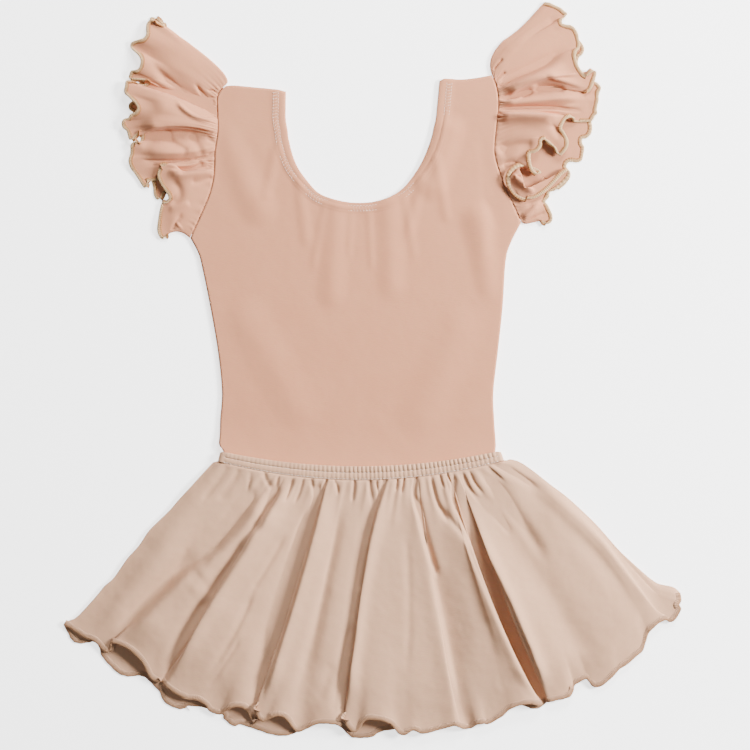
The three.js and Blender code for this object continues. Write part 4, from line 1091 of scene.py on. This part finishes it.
# Folds from the left edge to the right: share of the waist, middle and hem place,
# and the lift below the waist, at the middle and above the hem
SKIRT_FOLDS = [
    (0, -185, -138, -246, -204, 0.4, 0.3, 0.3),
    (0.03, -177, -141, -234, -210, 1, 1.5, 1),
    (0.07, -171, -145, -224, -214, 1.2, 2.2, 1.5),
    (0.1, -165, -150, -216, -223, 1.2, 2.5, 1.2),
    (0.14, -153, -159, -209, -219, 0.8, 0.6, 1.6),
    (0.17, -140, -162, -194, -223, 1.2, 1.5, 2.4),
    (0.2, -135, -167, -180, -238, 1.5, 2.8, 2),
    (0.225, -129, -171, -172, -247, 1.5, 1.8, 1.2),
    (0.235, -115, -172, -168, -250, 0.2, 0.2, 0.2),
    (0.25, -118, -169, -165, -249, 3.2, 5, 3),
    (0.28, -105, -169, -152, -259, 3.2, 5.2, 3.2),
    (0.3, -96, -171, -137, -263, 2.5, 4, 2.5),
    (0.325, -88, -175, -124, -274, 2, 2.8, 1.5),
    (0.345, -80, -178, -108, -269, 1.5, 1.8, 2),
    (0.355, -72, -180, -99, -276, 0.4, 0.8, 0.8),
    (0.368, -68, -182, -96, -285, 0.2, 0.3, 0.4),
    (0.378, -58, -180, -92, -279, 0.2, 0.2, 0.2),
    (0.39, -62, -178, -89, -273, 2.4, 3.2, 3),
    (0.405, -55, -178, -88, -279, 2.6, 3.4, 3.4),
    (0.43, -44, -181, -72, -275, 3, 4.5, 4),
    (0.455, -39, -183, -60, -289, 1.8, 2.6, 1.5),
    (0.48, -31, -185, -47, -279, 2.2, 3.5, 2.6),
    (0.51, -23, -186, -32, -276, 2, 3.2, 2.6),
    (0.535, -17, -186, -26, -278, 1.2, 2, 1.5),
    (0.557, -6.5, -186, -23, -282, 0.2, 0.2, 0.2),
    (0.575, -9, -184, -19, -281, 2.6, 3.6, 4.4),
    (0.6, -3, -185, -14, -289, 3, 4, 4.2),
    (0.62, 5, -185, 0, -275, 3.4, 4.4, 5.6),
    (0.64, 13, -185, 12, -278, 3.4, 4.4, 5.6),
    (0.655, 22, -185, 26, -290, 3.4, 4.4, 4.2),
    (0.67, 32, -185, 38, -287, 3.4, 4.4, 4.6),
    (0.685, 41, -185, 52, -287, 3.4, 4.4, 4.6),
    (0.7, 51, -183, 67, -282, 3.4, 4.4, 4.2),
    (0.708, 50, -185, 75, -286, 2.4, 3, 2.8),
    (0.73, 64, -186, 84, -280, 2.8, 3.2, 3.2),
    (0.76, 76, -185, 95, -284, 4, 5.5, 3.4),
    (0.785, 85, -183, 108, -269, 4.5, 6.5, 4.8),
    (0.8, 89, -183, 120, -262, 6, 8.2, 6),
    (0.81, 96, -186.4, 135, -266, 6, 8.8, 6),
    (0.82, 90, -187.2, 134, -266, 0.2, 0, 0),
    (0.83, 112, -187.2, 142, -266, 0.2, 0, 0),
    (0.84, 106.6, -184, 141, -266, 5.4, 8.6, 5.4),
    (0.857, 115.6, -181.6, 151, -263, 5, 7.6, 5),
    (0.875, 128, -182, 159, -259, 4.2, 6.2, 4),
    (0.89, 137, -180, 165, -249, 3.4, 5, 3.2),
    (0.9, 144, -178, 174, -249, 2.8, 4, 2.4),
    (0.92, 156, -175, 181, -254, 2.4, 3.2, 2),
    (0.935, 167, -170, 196, -241, 2.2, 2.8, 2.2),
    (0.95, 176, -162, 208, -234, 2, 2.5, 1.6),
    (0.96, 183, -154, 219, -221, 1.5, 1.5, 1.2),
    (0.97, 187, -148, 223, -208, 2, 2.5, 1.6),
    (0.98, 188, -141, 234, -201, 1.8, 2.5, 1.2),
    (0.99, 185, -133, 243, -198, 1.2, 1.5, 0.8),
    (1, 183, -126, 247, -182, 0.4, 0.3, 0.3),
]

# The hem as it lies: the fold it belongs to, its place and its height
SKIRT_HEM = [
    (0, -246, -204, 2.2), (0.4, -242, -206.4, 2.4), (1, -234.8, -210.8, 3), (1.5, -230, -214, 3.3),
    (2, -225.2, -215.6, 3.4), (2.4, -221.2, -217.6, 3), (2.8, -217.6, -221.2, 2.6),
    (3.1, -214, -225.2, 2.4), (3.4, -210, -225.6, 2.6), (3.7, -208.8, -222, 4), (4, -208, -218.8, 5.5),
    (4.3, -203.6, -219.2, 6.8), (4.7, -198, -221.2, 7.4), (5, -192.4, -224.4, 7.4),
    (5.4, -186.8, -229.6, 6.8), (5.7, -182.4, -235.2, 6.2), (6, -180, -240, 5.2),
    (6.4, -177.6, -245.2, 3.8), (6.8, -174.4, -248.4, 2.9), (7.3, -170, -250.4, 2.5),
    (8, -168, -249.6, 1.8), (8.5, -166.4, -251.6, 2.8), (9, -163.6, -254, 4.6),
    (9.5, -158.8, -257.6, 4.8), (10, -153.2, -260.8, 4.8), (10.5, -146.8, -263.6, 4.4),
    (10.8, -140.4, -264, 4.5), (11, -136.4, -265.6, 4.2), (11.3, -132.4, -268.8, 3.4),
    (11.6, -130, -272.4, 2.7), (12, -126, -274.8, 2.5), (12.4, -121.2, -275.6, 3),
    (12.7, -117.2, -273.6, 4.6), (13, -112.4, -270.4, 6.2), (13.4, -106.8, -269.2, 6.8),
    (13.8, -102, -270.4, 5.8), (14.2, -98.8, -274.4, 4.2), (14.6, -96.4, -279.2, 3),
    (15, -94, -283.2, 2.2), (16, -91.6, -276.8, 1.6), (16.5, -92.4, -271.2, 3),
    (17, -91.6, -269.2, 5.4), (17.4, -92.8, -273.6, 5.8), (17.8, -90.4, -278.8, 5.8),
    (18, -86.8, -281.2, 5.8), (18.3, -83.6, -280, 6.4), (18.7, -79.6, -277.6, 7.6),
    (19, -74.8, -276.4, 8.2), (19.3, -70, -277.6, 7.6), (19.6, -66.4, -281.2, 6.2),
    (19.8, -64, -285.2, 4.6), (20, -60.4, -289.2, 3), (20.3, -56.4, -289.2, 2.7),
    (20.7, -51.6, -286.8, 3.6), (21, -46, -284, 5.2), (21.4, -40.4, -282.8, 6.2),
    (22, -34, -282.8, 6.5), (22.6, -28.4, -283.4, 5.8), (23, -25.2, -285.2, 4.6),
    (23.5, -21.6, -288.4, 3), (24, -18.4, -291.2, 2.2), (24.4, -18.8, -286.4, 1.6),
    (24.7, -20.4, -280.8, 2.4), (25, -19.6, -277.2, 5.4), (25.2, -21.6, -279.6, 6.4),
    (25.5, -20, -284.4, 6.4), (25.8, -16.4, -288.4, 6), (26.1, -12.4, -289.6, 5.8),
    (26.4, -9.6, -286.4, 6.6), (26.7, -6.8, -282, 7.8), (27, -2.8, -279.2, 9), (27.4, 2.8, -279.2, 9.4),
    (27.8, 9.2, -280.4, 9.2), (28.2, 14.8, -282.8, 8), (28.5, 18.4, -286.4, 6.6),
    (28.8, 22, -290.8, 5.4), (29, 26, -292, 5.2), (29.4, 29.6, -290, 5.6), (29.8, 33.2, -288.4, 6),
    (30.1, 36.4, -289.2, 5.8), (30.4, 39.6, -290.8, 5.3), (30.8, 45.2, -290, 5),
    (31.1, 51.6, -288.4, 5), (31.4, 57.2, -286.8, 5.3), (31.7, 62, -285.6, 6.2),
    (32, 66.8, -284.4, 6.8), (32.4, 70, -285.6, 5.8), (32.7, 72.4, -286.8, 4.2),
    (33, 76.4, -287.2, 2.6), (33.4, 79.6, -286.8, 2.6), (33.7, 82, -285.2, 3.8), (34, 84.4, -283.6, 5.2),
    (34.2, 87.2, -283, 5.6), (34.5, 89.6, -282.8, 5.2), (34.8, 92.4, -283.4, 4.4),
    (35.2, 97.2, -281.6, 4.5), (35.5, 101.2, -278.8, 5), (35.8, 105.2, -276, 5.6),
    (36.1, 109.2, -272, 6.6), (36.5, 114, -269.4, 7.8), (37, 121.2, -267.4, 8.4),
    (37.4, 126.8, -266.8, 8), (37.8, 132.4, -268, 6.6), (38, 135.6, -268, 5), (39, 137.2, -267.2, 1.2),
    (40, 139.6, -266, 1.2), (41, 142, -265.6, 4.7), (41.5, 146.8, -264.4, 5), (42, 151.6, -263.6, 5),
    (42.5, 155.6, -262.4, 4.7), (43, 159.2, -260.4, 4.3), (43.4, 161.2, -256.4, 3.8),
    (43.7, 161.8, -253.2, 3.4), (44, 164.4, -250.8, 3.6), (44.5, 168.4, -248.4, 3.8),
    (44.9, 171.6, -247.2, 3.5), (45.2, 173.6, -249.6, 3), (45.6, 176.4, -252.8, 2.6),
    (46, 179.2, -254, 2.5), (46.4, 184.4, -252.4, 2.9), (46.7, 189.2, -248.8, 3.3),
    (47, 194, -244, 3.7), (47.4, 198, -239.6, 3.5), (47.7, 202.8, -236.4, 3.3),
    (48, 207.6, -232.8, 3.1), (48.4, 212.4, -228.4, 2.9), (48.7, 216.8, -224.8, 2.5),
    (49, 218.4, -219.2, 2.7), (49.3, 220.4, -212.4, 3.4), (49.7, 222.8, -208.4, 4.2),
    (50, 226.8, -204.8, 4.6), (50.4, 230.8, -202, 4.3), (50.8, 234.8, -200.4, 3.5),
    (51.2, 238, -201.6, 2.7), (51.6, 241.2, -201.2, 2.5), (52, 244.4, -197.2, 2.5),
    (52.4, 247.2, -192, 2.7), (52.7, 245.4, -188.4, 2.8), (52.9, 247.3, -184.8, 2.1),
    (53, 246.4, -178.8, 1.3),
]

# The skirt's two sides from the waistband down to the hem
SKIRT_LEFT_SIDE = [
    (-123.2, -71), (-132.4, -80.8), (-144, -93.6), (-154, -104.4), (-161.6, -113.2), (-172.4, -123.6),
    (-178.8, -130.4), (-186, -141.2), (-195.6, -152), (-206, -166.8), (-213.2, -173.2), (-218.8, -180),
    (-227.6, -190), (-236.4, -198.8), (-246, -204),
]
SKIRT_RIGHT_SIDE = [
    (105.8, -71.8), (109.2, -72), (115.6, -73.2), (122, -76.4), (130.8, -82.8), (142.8, -92.4),
    (155.6, -102), (167.6, -112.8), (178.8, -123.6), (186.8, -132.4), (198, -145.2), (209.2, -156.4),
    (221.2, -168), (228.4, -173.6), (234, -175.6), (239.6, -176.8), (246.4, -178.4),
]

# Creases and ridges down the skirt: where each starts, bends and ends, its height, and its reach on
# its left and on its right as it runs
SKIRT_CREASES = [
    (-92.4, -95.2, -111.6, -120.8, -130.8, -146.4, -3.6, 4.8, 5.6),
    (-82, -98, -112, -141, -150, -169, 4.8, 18, 6),
    (-139, -161, -168, -189, -206, -232, 4.6, 16, 6),
    (-119.6, -133.6, -157.2, -160.8, -214, -223.2, -4.4, 6.4, 7.2),
    (-65.2, -90.4, -101.2, -146.4, -169.2, -253.6, 4, 7.2, 2.4),
    (-74, -92, -82.8, -111.2, -94, -133.6, -3, 2.4, 4),
    (-97.2, -136.8, -114.8, -160.8, -132.4, -184.8, -1.8, 2.4, 5.6),
    (-127.6, -178.4, -149.2, -210.4, -170.8, -252, -2.2, 2.4, 4.8),
    (-42.8, -90.4, -45.2, -107.2, -51.6, -124, -4.8, 2, 2.8),
    (-46.8, -112.8, -57.2, -131.2, -64.4, -157.6, -4, 2, 3.6),
    (-57.2, -136.8, -74.8, -194.4, -98.8, -274.4, -2, 3.2, 9),
    (-33.2, -82.4, -57.2, -172.8, -90.8, -277.6, 4.4, 8, 1.3),
    (-68.4, -130.4, -82.8, -156.8, -98.8, -181.6, -1.2, 2.4, 2.8),
    (-94, -175.2, -108.4, -208.8, -134, -252, -1.4, 2.4, 3.2),
    (-103.6, -213.6, -117.2, -234.4, -134.8, -260, -1, 2, 2.4),
    (-25.2, -104.8, -39.6, -178.4, -60.4, -264.8, -1.8, 5.6, 5.6),
    (-30, -232.8, -36.4, -250.4, -42.8, -268, -1, 4, 4),
    (12.4, -84, 7.6, -98.4, 2, -114.4, -3.6, 1.6, 1.6),
    (5.2, -104.8, -2.8, -137.6, -10, -180, -4.4, 1.1, 2.8),
    (-12.4, -200.8, -21.2, -247.2, -26.8, -280.8, -4, 1.6, 6.4),
    (14.8, -84, -7.6, -170.4, -19.6, -284, 3.6, 6.4, 0.9),
    (36.4, -84, 34, -100.8, 39.6, -119.2, -4, 1.6, 1.6),
    (35.6, -100, 42, -132.8, 53.2, -168.8, -4.8, 2.8, 1.6),
    (48.4, -154.4, 59.6, -208.8, 74, -277.6, -2, 8, 3),
    (30, -90.4, 46.8, -168.8, 68.4, -282.4, 1.2, 3, 8),
    (47.6, -84, 51.6, -104.8, 62.8, -124, -2.4, 1.6, 1.3),
    (53.2, -108, 68.4, -126.4, 88.4, -149.6, -1.4, 2.4, 2.4),
    (66.8, -84, 64.4, -98.4, 68.4, -114.4, -4.4, 2, 1.6),
    (64.4, -101.6, 71.6, -120.8, 80.4, -141.6, -3.2, 1.6, 1.3),
    (61.2, -104.8, 94, -189.6, 134.8, -272.8, 1.6, 2, 7),
    (77.2, -119.2, 114, -192.8, 143.6, -269.6, 3.2, 5.6, 0.9),
    (77.2, -95.2, 125.2, -156.8, 186, -256.8, -2.8, 12, 14),
    (73.2, -82.4, 78, -95.2, 88.4, -106.4, -3, 1.3, 1.3),
    (83.6, -101.6, 97.2, -113.6, 112.4, -133.6, -1.6, 2.4, 2.4),
    (86, -79.2, 110.8, -108.8, 142.8, -159.2, -2.2, 4.8, 4.8),
    (78.8, -81.6, 82, -90.4, 90, -100, -1.6, 1.2, 1.2),
    (94.8, -72.8, 112.4, -81.6, 136.4, -98.4, -2.2, 2.4, 4),
    (165.2, -127.2, 202.8, -172.8, 224.4, -207.2, -1.3, 9, 9),
    (26.8, -128.8, 30, -184.8, 27.6, -245.6, -0.7, 3.2, 3.2),
    (-86, -80.8, -82.8, -90.4, -76.4, -98.4, -2.2, 1.2, 1.2),
    (-74.8, -84.8, -75.6, -91.2, -78, -98.4, -2, 1.2, 1.2),
    (-62.8, -86.4, -65.2, -96, -70, -106.4, -1.8, 1.3, 1.3),
    (-54, -86.4, -57.2, -96.8, -62, -108, -1.6, 1.4, 1.4),
    (-48.4, -86.4, -46.8, -94.4, -44.4, -103.2, -2.4, 1.2, 1.2),
    (-34.8, -86.4, -38.8, -96.8, -42, -109.6, -3, 1.2, 1.2),
    (-30.8, -88, -27.6, -93.6, -26.8, -100.8, -1.4, 1, 1),
    (-14, -87.2, -14, -95.2, -15.6, -106.4, -2.4, 1.2, 1.2),
    (-1.2, -86.4, -1.2, -96.8, 2, -109.6, -2.4, 1.4, 1.4),
    (4.4, -88, 4.4, -94.4, 6.8, -100.8, -1.6, 1, 1),
    (20.4, -85.6, 20.4, -91.2, 19.6, -97.6, -1.6, 1, 1),
    (26, -85.6, 25.2, -92, 23.6, -99.2, -1.8, 1, 1),
    (54.8, -83.2, 55.6, -88.8, 58, -95.2, -2.2, 1.1, 1.1),
    (59.6, -82.4, 62, -88, 65.2, -94.4, -1.8, 1, 1),
    (92.4, -77.6, 98, -83.2, 106, -89.6, -1.6, 1.3, 1.3),
    (-105.2, -77.6, -111.6, -90.4, -122.8, -106.4, -1.2, 2.4, 2.4),
    (-113.2, -74.4, -122.8, -88.8, -137.2, -108, -1, 2.4, 2.4),
    (-97.2, -80.8, -97.2, -88.8, -99.6, -100, -1, 1.3, 1.3),
]

# Short gathers under the waistband: share of the waist, share of the skirt's length, lift
GATHERS = [
    (0.05, 0.10, 0.5), (0.085, 0.14, 0.6), (0.12, 0.08, 0.5), (0.155, 0.18, 0.8), (0.19, 0.10, 0.6),
    (0.215, 0.20, 0.9), (0.25, 0.12, 0.6), (0.285, 0.22, 0.9), (0.31, 0.10, 0.5), (0.345, 0.16, 0.7),
    (0.38, 0.24, 0.9), (0.41, 0.12, 0.6), (0.44, 0.18, 0.8), (0.47, 0.10, 0.6), (0.495, 0.14, 0.7),
    (0.53, 0.20, 0.9), (0.56, 0.10, 0.6), (0.59, 0.15, 0.8), (0.615, 0.20, 1.0), (0.64, 0.25, 1.1),
    (0.66, 0.16, 1.0), (0.685, 0.28, 1.2), (0.71, 0.20, 1.1), (0.735, 0.24, 1.2), (0.755, 0.18, 1.0),
    (0.78, 0.26, 1.2), (0.805, 0.14, 0.9), (0.83, 0.20, 1.0), (0.86, 0.12, 0.8), (0.89, 0.16, 0.8),
    (0.92, 0.10, 0.6), (0.95, 0.12, 0.5),
]


def over_leotard(x, y):
    """1 where the leotard lies under the skirt, fading to 0 outside it."""
    keys = [row[1] for row in SECTIONS]
    left = np.interp(y, keys, [row[0] for row in SECTIONS])
    right = np.interp(y, keys, [row[2] for row in SECTIONS])
    outside = np.maximum(np.maximum(left - x, x - right), SECTIONS[0][1] - y)
    margin = 6 + 16 * np.clip((-75 - y) / 150, 0, 1)
    return 1 - smooth(0, 1, (outside - margin) / 30)


def skirt_root(share):
    x = -123.2 + 229 * share
    return x, band_y(x, 0) - 0.12


def side_shift(side, fold, v):
    """How far a side of the skirt lies from the plain curve of its outermost fold."""
    line = point_on(softened(side), v)
    root_x, root_y = skirt_root(np.full(len(v), float(fold[0])))
    x, y = fold_line(root_x, root_y, *fold[1:5], v)
    keep = smooth(0, 0.03, v) * smooth(0, 0.05, 1 - v)
    return (line[:, 0] - x) * keep, (line[:, 1] - y) * keep


def skirt_place(share, v):
    row = share * (len(SKIRT_FOLDS) - 1)
    fold = row_at(SKIRT_FOLDS, row)
    waist = np.clip(fold[:, 0], 0, 1)
    root_x, root_y = skirt_root(waist)
    x, y = fold_line(root_x, root_y, fold[:, 1], fold[:, 2], fold[:, 3], fold[:, 4], v)
    edge = by_key(SKIRT_HEM, row)
    x = x + (edge[:, 1] - fold[:, 3]) * smooth(0.6, 1, v)
    y = y + (edge[:, 2] - fold[:, 4]) * smooth(0.6, 1, v)
    from_left, from_right = row, len(SKIRT_FOLDS) - 1 - row
    first, last = SKIRT_FOLDS[0], SKIRT_FOLDS[-1]
    sides = ((SKIRT_LEFT_SIDE, first, from_left), (SKIRT_RIGHT_SIDE, last, from_right))
    for side, outer, away in sides:
        shift_x, shift_y = side_shift(side, outer, v)
        x = x + shift_x * (1 - smooth(0, 5, away))
        y = y + shift_y * (1 - smooth(0, 5, away))
    lifts = np.stack([0 * waist, fold[:, 5], fold[:, 6], fold[:, 7]])
    lift = profile([0, 0.25, 0.55, 0.9], lifts, np.minimum(v, 0.9))
    gathers = np.zeros(len(v))
    for place, length, height in GATHERS:
        ridge = np.exp(-(((waist - place) / 0.0095) ** 2))
        gathers += 0.95 * height * ridge * (1 - smooth(0.2, 1, v / length)) * smooth(0, 0.02, v)
    over = over_leotard(x, y)
    ground = FRONT_Z + (SKIRT_OVER_Z - FRONT_Z) * over
    inside = smooth(0, 2.5, np.minimum(from_left, from_right))
    loose = 4 * (1 - over) * inside * smooth(0.1, 0.3, v) * smooth(-0.1, 1.1, lift)
    root_z = FRONT_Z + (BAND_FRONT_Z - FRONT_Z) * smooth(0, 0.03, np.minimum(waist, 1 - waist))
    z = root_z + (ground + loose + np.maximum(lift, 0) - root_z) * smooth(0, 0.2, v) + gathers
    z = z + crease_lift(x, y, SKIRT_CREASES) * (1 - smooth(0.93, 1, v))
    z = np.maximum(z, np.minimum(ground, root_z) + 0.05)
    z = z + (edge[:, 3] - z) * smooth(0.8, 1, v)
    return np.stack([x, y, z], axis=-1)


skirt_front = cloth_grid("skirt_front_cloth", (len(SKIRT_FOLDS) - 1) * 8, 112, skirt_place, (0.72, 0.21))
sew_in(skirt_front, "skirt_front", beige_jersey)

beige_overlock = overlock_thread("beige_overlock", (166, 124, 92), (188, 148, 119))
BEIGE_BEAD = {"closed": False, "half": 2.3, "high": 0.75}
skirt_edge = overlock("skirt_front_overlock", skirt_place, 1000, beige_overlock, steps=1300, **BEIGE_BEAD)

# The skirt's back
# The same flared panel of beige jersey behind the leotard, gathered and overlocked in the same way.
# It rests flat on the surface, with its hem a little below the front's.

SKIRT_BACK_HEM = [
    (-246, -204), (-242.4, -211.2), (-240.4, -215.2), (-237.2, -218), (-232.4, -219.2),
    (-226.8, -218.4), (-222.8, -217.6), (-219.6, -219.2), (-217.2, -223.2), (-215.6, -228.8),
    (-211.6, -234.4), (-206.8, -239.2), (-202, -243.2), (-197.2, -245.2), (-193.2, -245.6),
    (-187.6, -244.8), (-182.8, -245.6), (-178.8, -248), (-174, -252.8), (-169.2, -258.4),
    (-166.8, -264), (-162.8, -268), (-158, -270.4), (-153.2, -271.6), (-149.2, -270.8), (-146, -269.2),
    (-135.6, -270), (-131.6, -271.2), (-125.2, -274.4), (-118.8, -276), (-118, -279.2),
    (-114.8, -282.4), (-110, -285.2), (-105.2, -284), (-97.2, -286.4), (-89.2, -288.8), (-82.8, -291.2),
    (-75.6, -292.8), (-69.2, -292.8), (-64.4, -292), (-59.6, -290), (-52.4, -287.2), (-44.4, -284),
    (-36.4, -282.8), (-28.4, -284), (-22.8, -286.8), (-17.2, -293.2), (-13.2, -294.4), (-7.6, -294.8),
    (-2.8, -294.4), (1.2, -293.4), (5.2, -290.8), (10.8, -288.8), (18.8, -287.6), (26.8, -286.4),
    (34.8, -285.6), (46.8, -284), (58.8, -282.4), (70.8, -280.4), (82.8, -280), (94.8, -273.6),
    (106.8, -269.6), (115.6, -268), (123.6, -269.6), (126.8, -270.8), (131.6, -271.2), (135.6, -270),
    (141.2, -264.8), (149.2, -259.2), (158.8, -252), (170.8, -243.2), (182.8, -236), (194.8, -231.2),
    (206.8, -224.8), (216.4, -215.2), (222.8, -205.6), (229.2, -198.4), (237.2, -193.6),
    (242.8, -187.2), (246, -180),
]


def skirt_back_place(share, v):
    hem = row_at(SKIRT_BACK_HEM, share * (len(SKIRT_BACK_HEM) - 1))
    root_x, root_y = skirt_root(share)
    first, last = SKIRT_FOLDS[0], SKIRT_FOLDS[-1]
    mid_x = first[1] + (last[1] - first[1]) * share
    mid_y = first[2] + (last[2] - first[2]) * share - 50 * np.sin(math.pi * share)
    x, y = fold_line(root_x, root_y, mid_x, mid_y, hem[:, 0], hem[:, 1], v)
    for side, outer, away in ((SKIRT_LEFT_SIDE, first, share), (SKIRT_RIGHT_SIDE, last, 1 - share)):
        shift_x, shift_y = side_shift(side, outer, v)
        x = x + shift_x * (1 - smooth(0, 0.1, away))
        y = y + shift_y * (1 - smooth(0, 0.1, away))
    return np.stack([x, y, np.full(len(v), BACK_Z)], axis=-1)


skirt_back = cloth_grid("skirt_back_cloth", 240, 60, skirt_back_place, (0.72, 0.21))
sew_in(skirt_back, "skirt_back", beige_jersey)
back_edge = overlock("skirt_back_overlock", skirt_back_place, 900, beige_overlock, steps=1000, **BEIGE_BEAD)

# The table, the light and the camera
# A plain pale surface, seen from straight overhead. A large softbox on the right gives most of the light,
# a second one beyond the neck half as much, and a weak one overhead fills the shadows.

bpy.ops.mesh.primitive_plane_add(size=6, location=(0, 0, 0))
floor = bpy.context.object
floor.name = "pale_surface"
paper = bpy.data.materials.new("pale_paper")
paper.use_nodes = True
paper_shader = paper.node_tree.nodes["Principled BSDF"]
paper_shader.inputs["Base Color"].default_value = (0.93, 0.93, 0.93, 1)
paper_shader.inputs["Roughness"].default_value = 0.9
paper_shader.inputs["Emission Color"].default_value = (1, 1, 1, 1)
paper_shader.inputs["Emission Strength"].default_value = 2.0
floor.data.materials.append(paper)

world = bpy.data.worlds.new("studio")
bpy.context.scene.world = world
world.use_nodes = True
world.node_tree.nodes["Background"].inputs["Color"].default_value = (1, 1, 1, 1)
world.node_tree.nodes["Background"].inputs["Strength"].default_value = 0.1


def softbox(name, place, aim, size, power):
    lamp = bpy.data.lights.new(name, "AREA")
    lamp.shape = "DISK"
    lamp.size = size
    lamp.energy = power
    made = bpy.data.objects.new(name, lamp)
    bpy.context.scene.collection.objects.link(made)
    made.location = place
    direction = Vector(aim) - Vector(place)
    made.rotation_euler = direction.to_track_quat("-Z", "Y").to_euler()


softbox("key_softbox", (1.92, 0.45, 1.1), (0, 0, 0), 0.7, 184)
softbox("second_softbox", (0.55, 1.87, 1.15), (0, 0, 0), 0.8, 84)
softbox("overhead_softbox", (-0.3, -0.4, 2.6), (0, 0, 0), 1.4, 12)
floor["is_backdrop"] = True

CAMERA_HEIGHT = 2.4
VIEW_WIDTH = 0.6
lens = bpy.data.cameras.new("overhead")
lens.sensor_width = 36
lens.lens = lens.sensor_width * CAMERA_HEIGHT / VIEW_WIDTH
lens.clip_end = 20
camera = bpy.data.objects.new("overhead", lens)
bpy.context.scene.collection.objects.link(camera)
camera.location = (0.0023, -0.0035, CAMERA_HEIGHT)
bpy.context.scene.camera = camera

low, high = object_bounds()
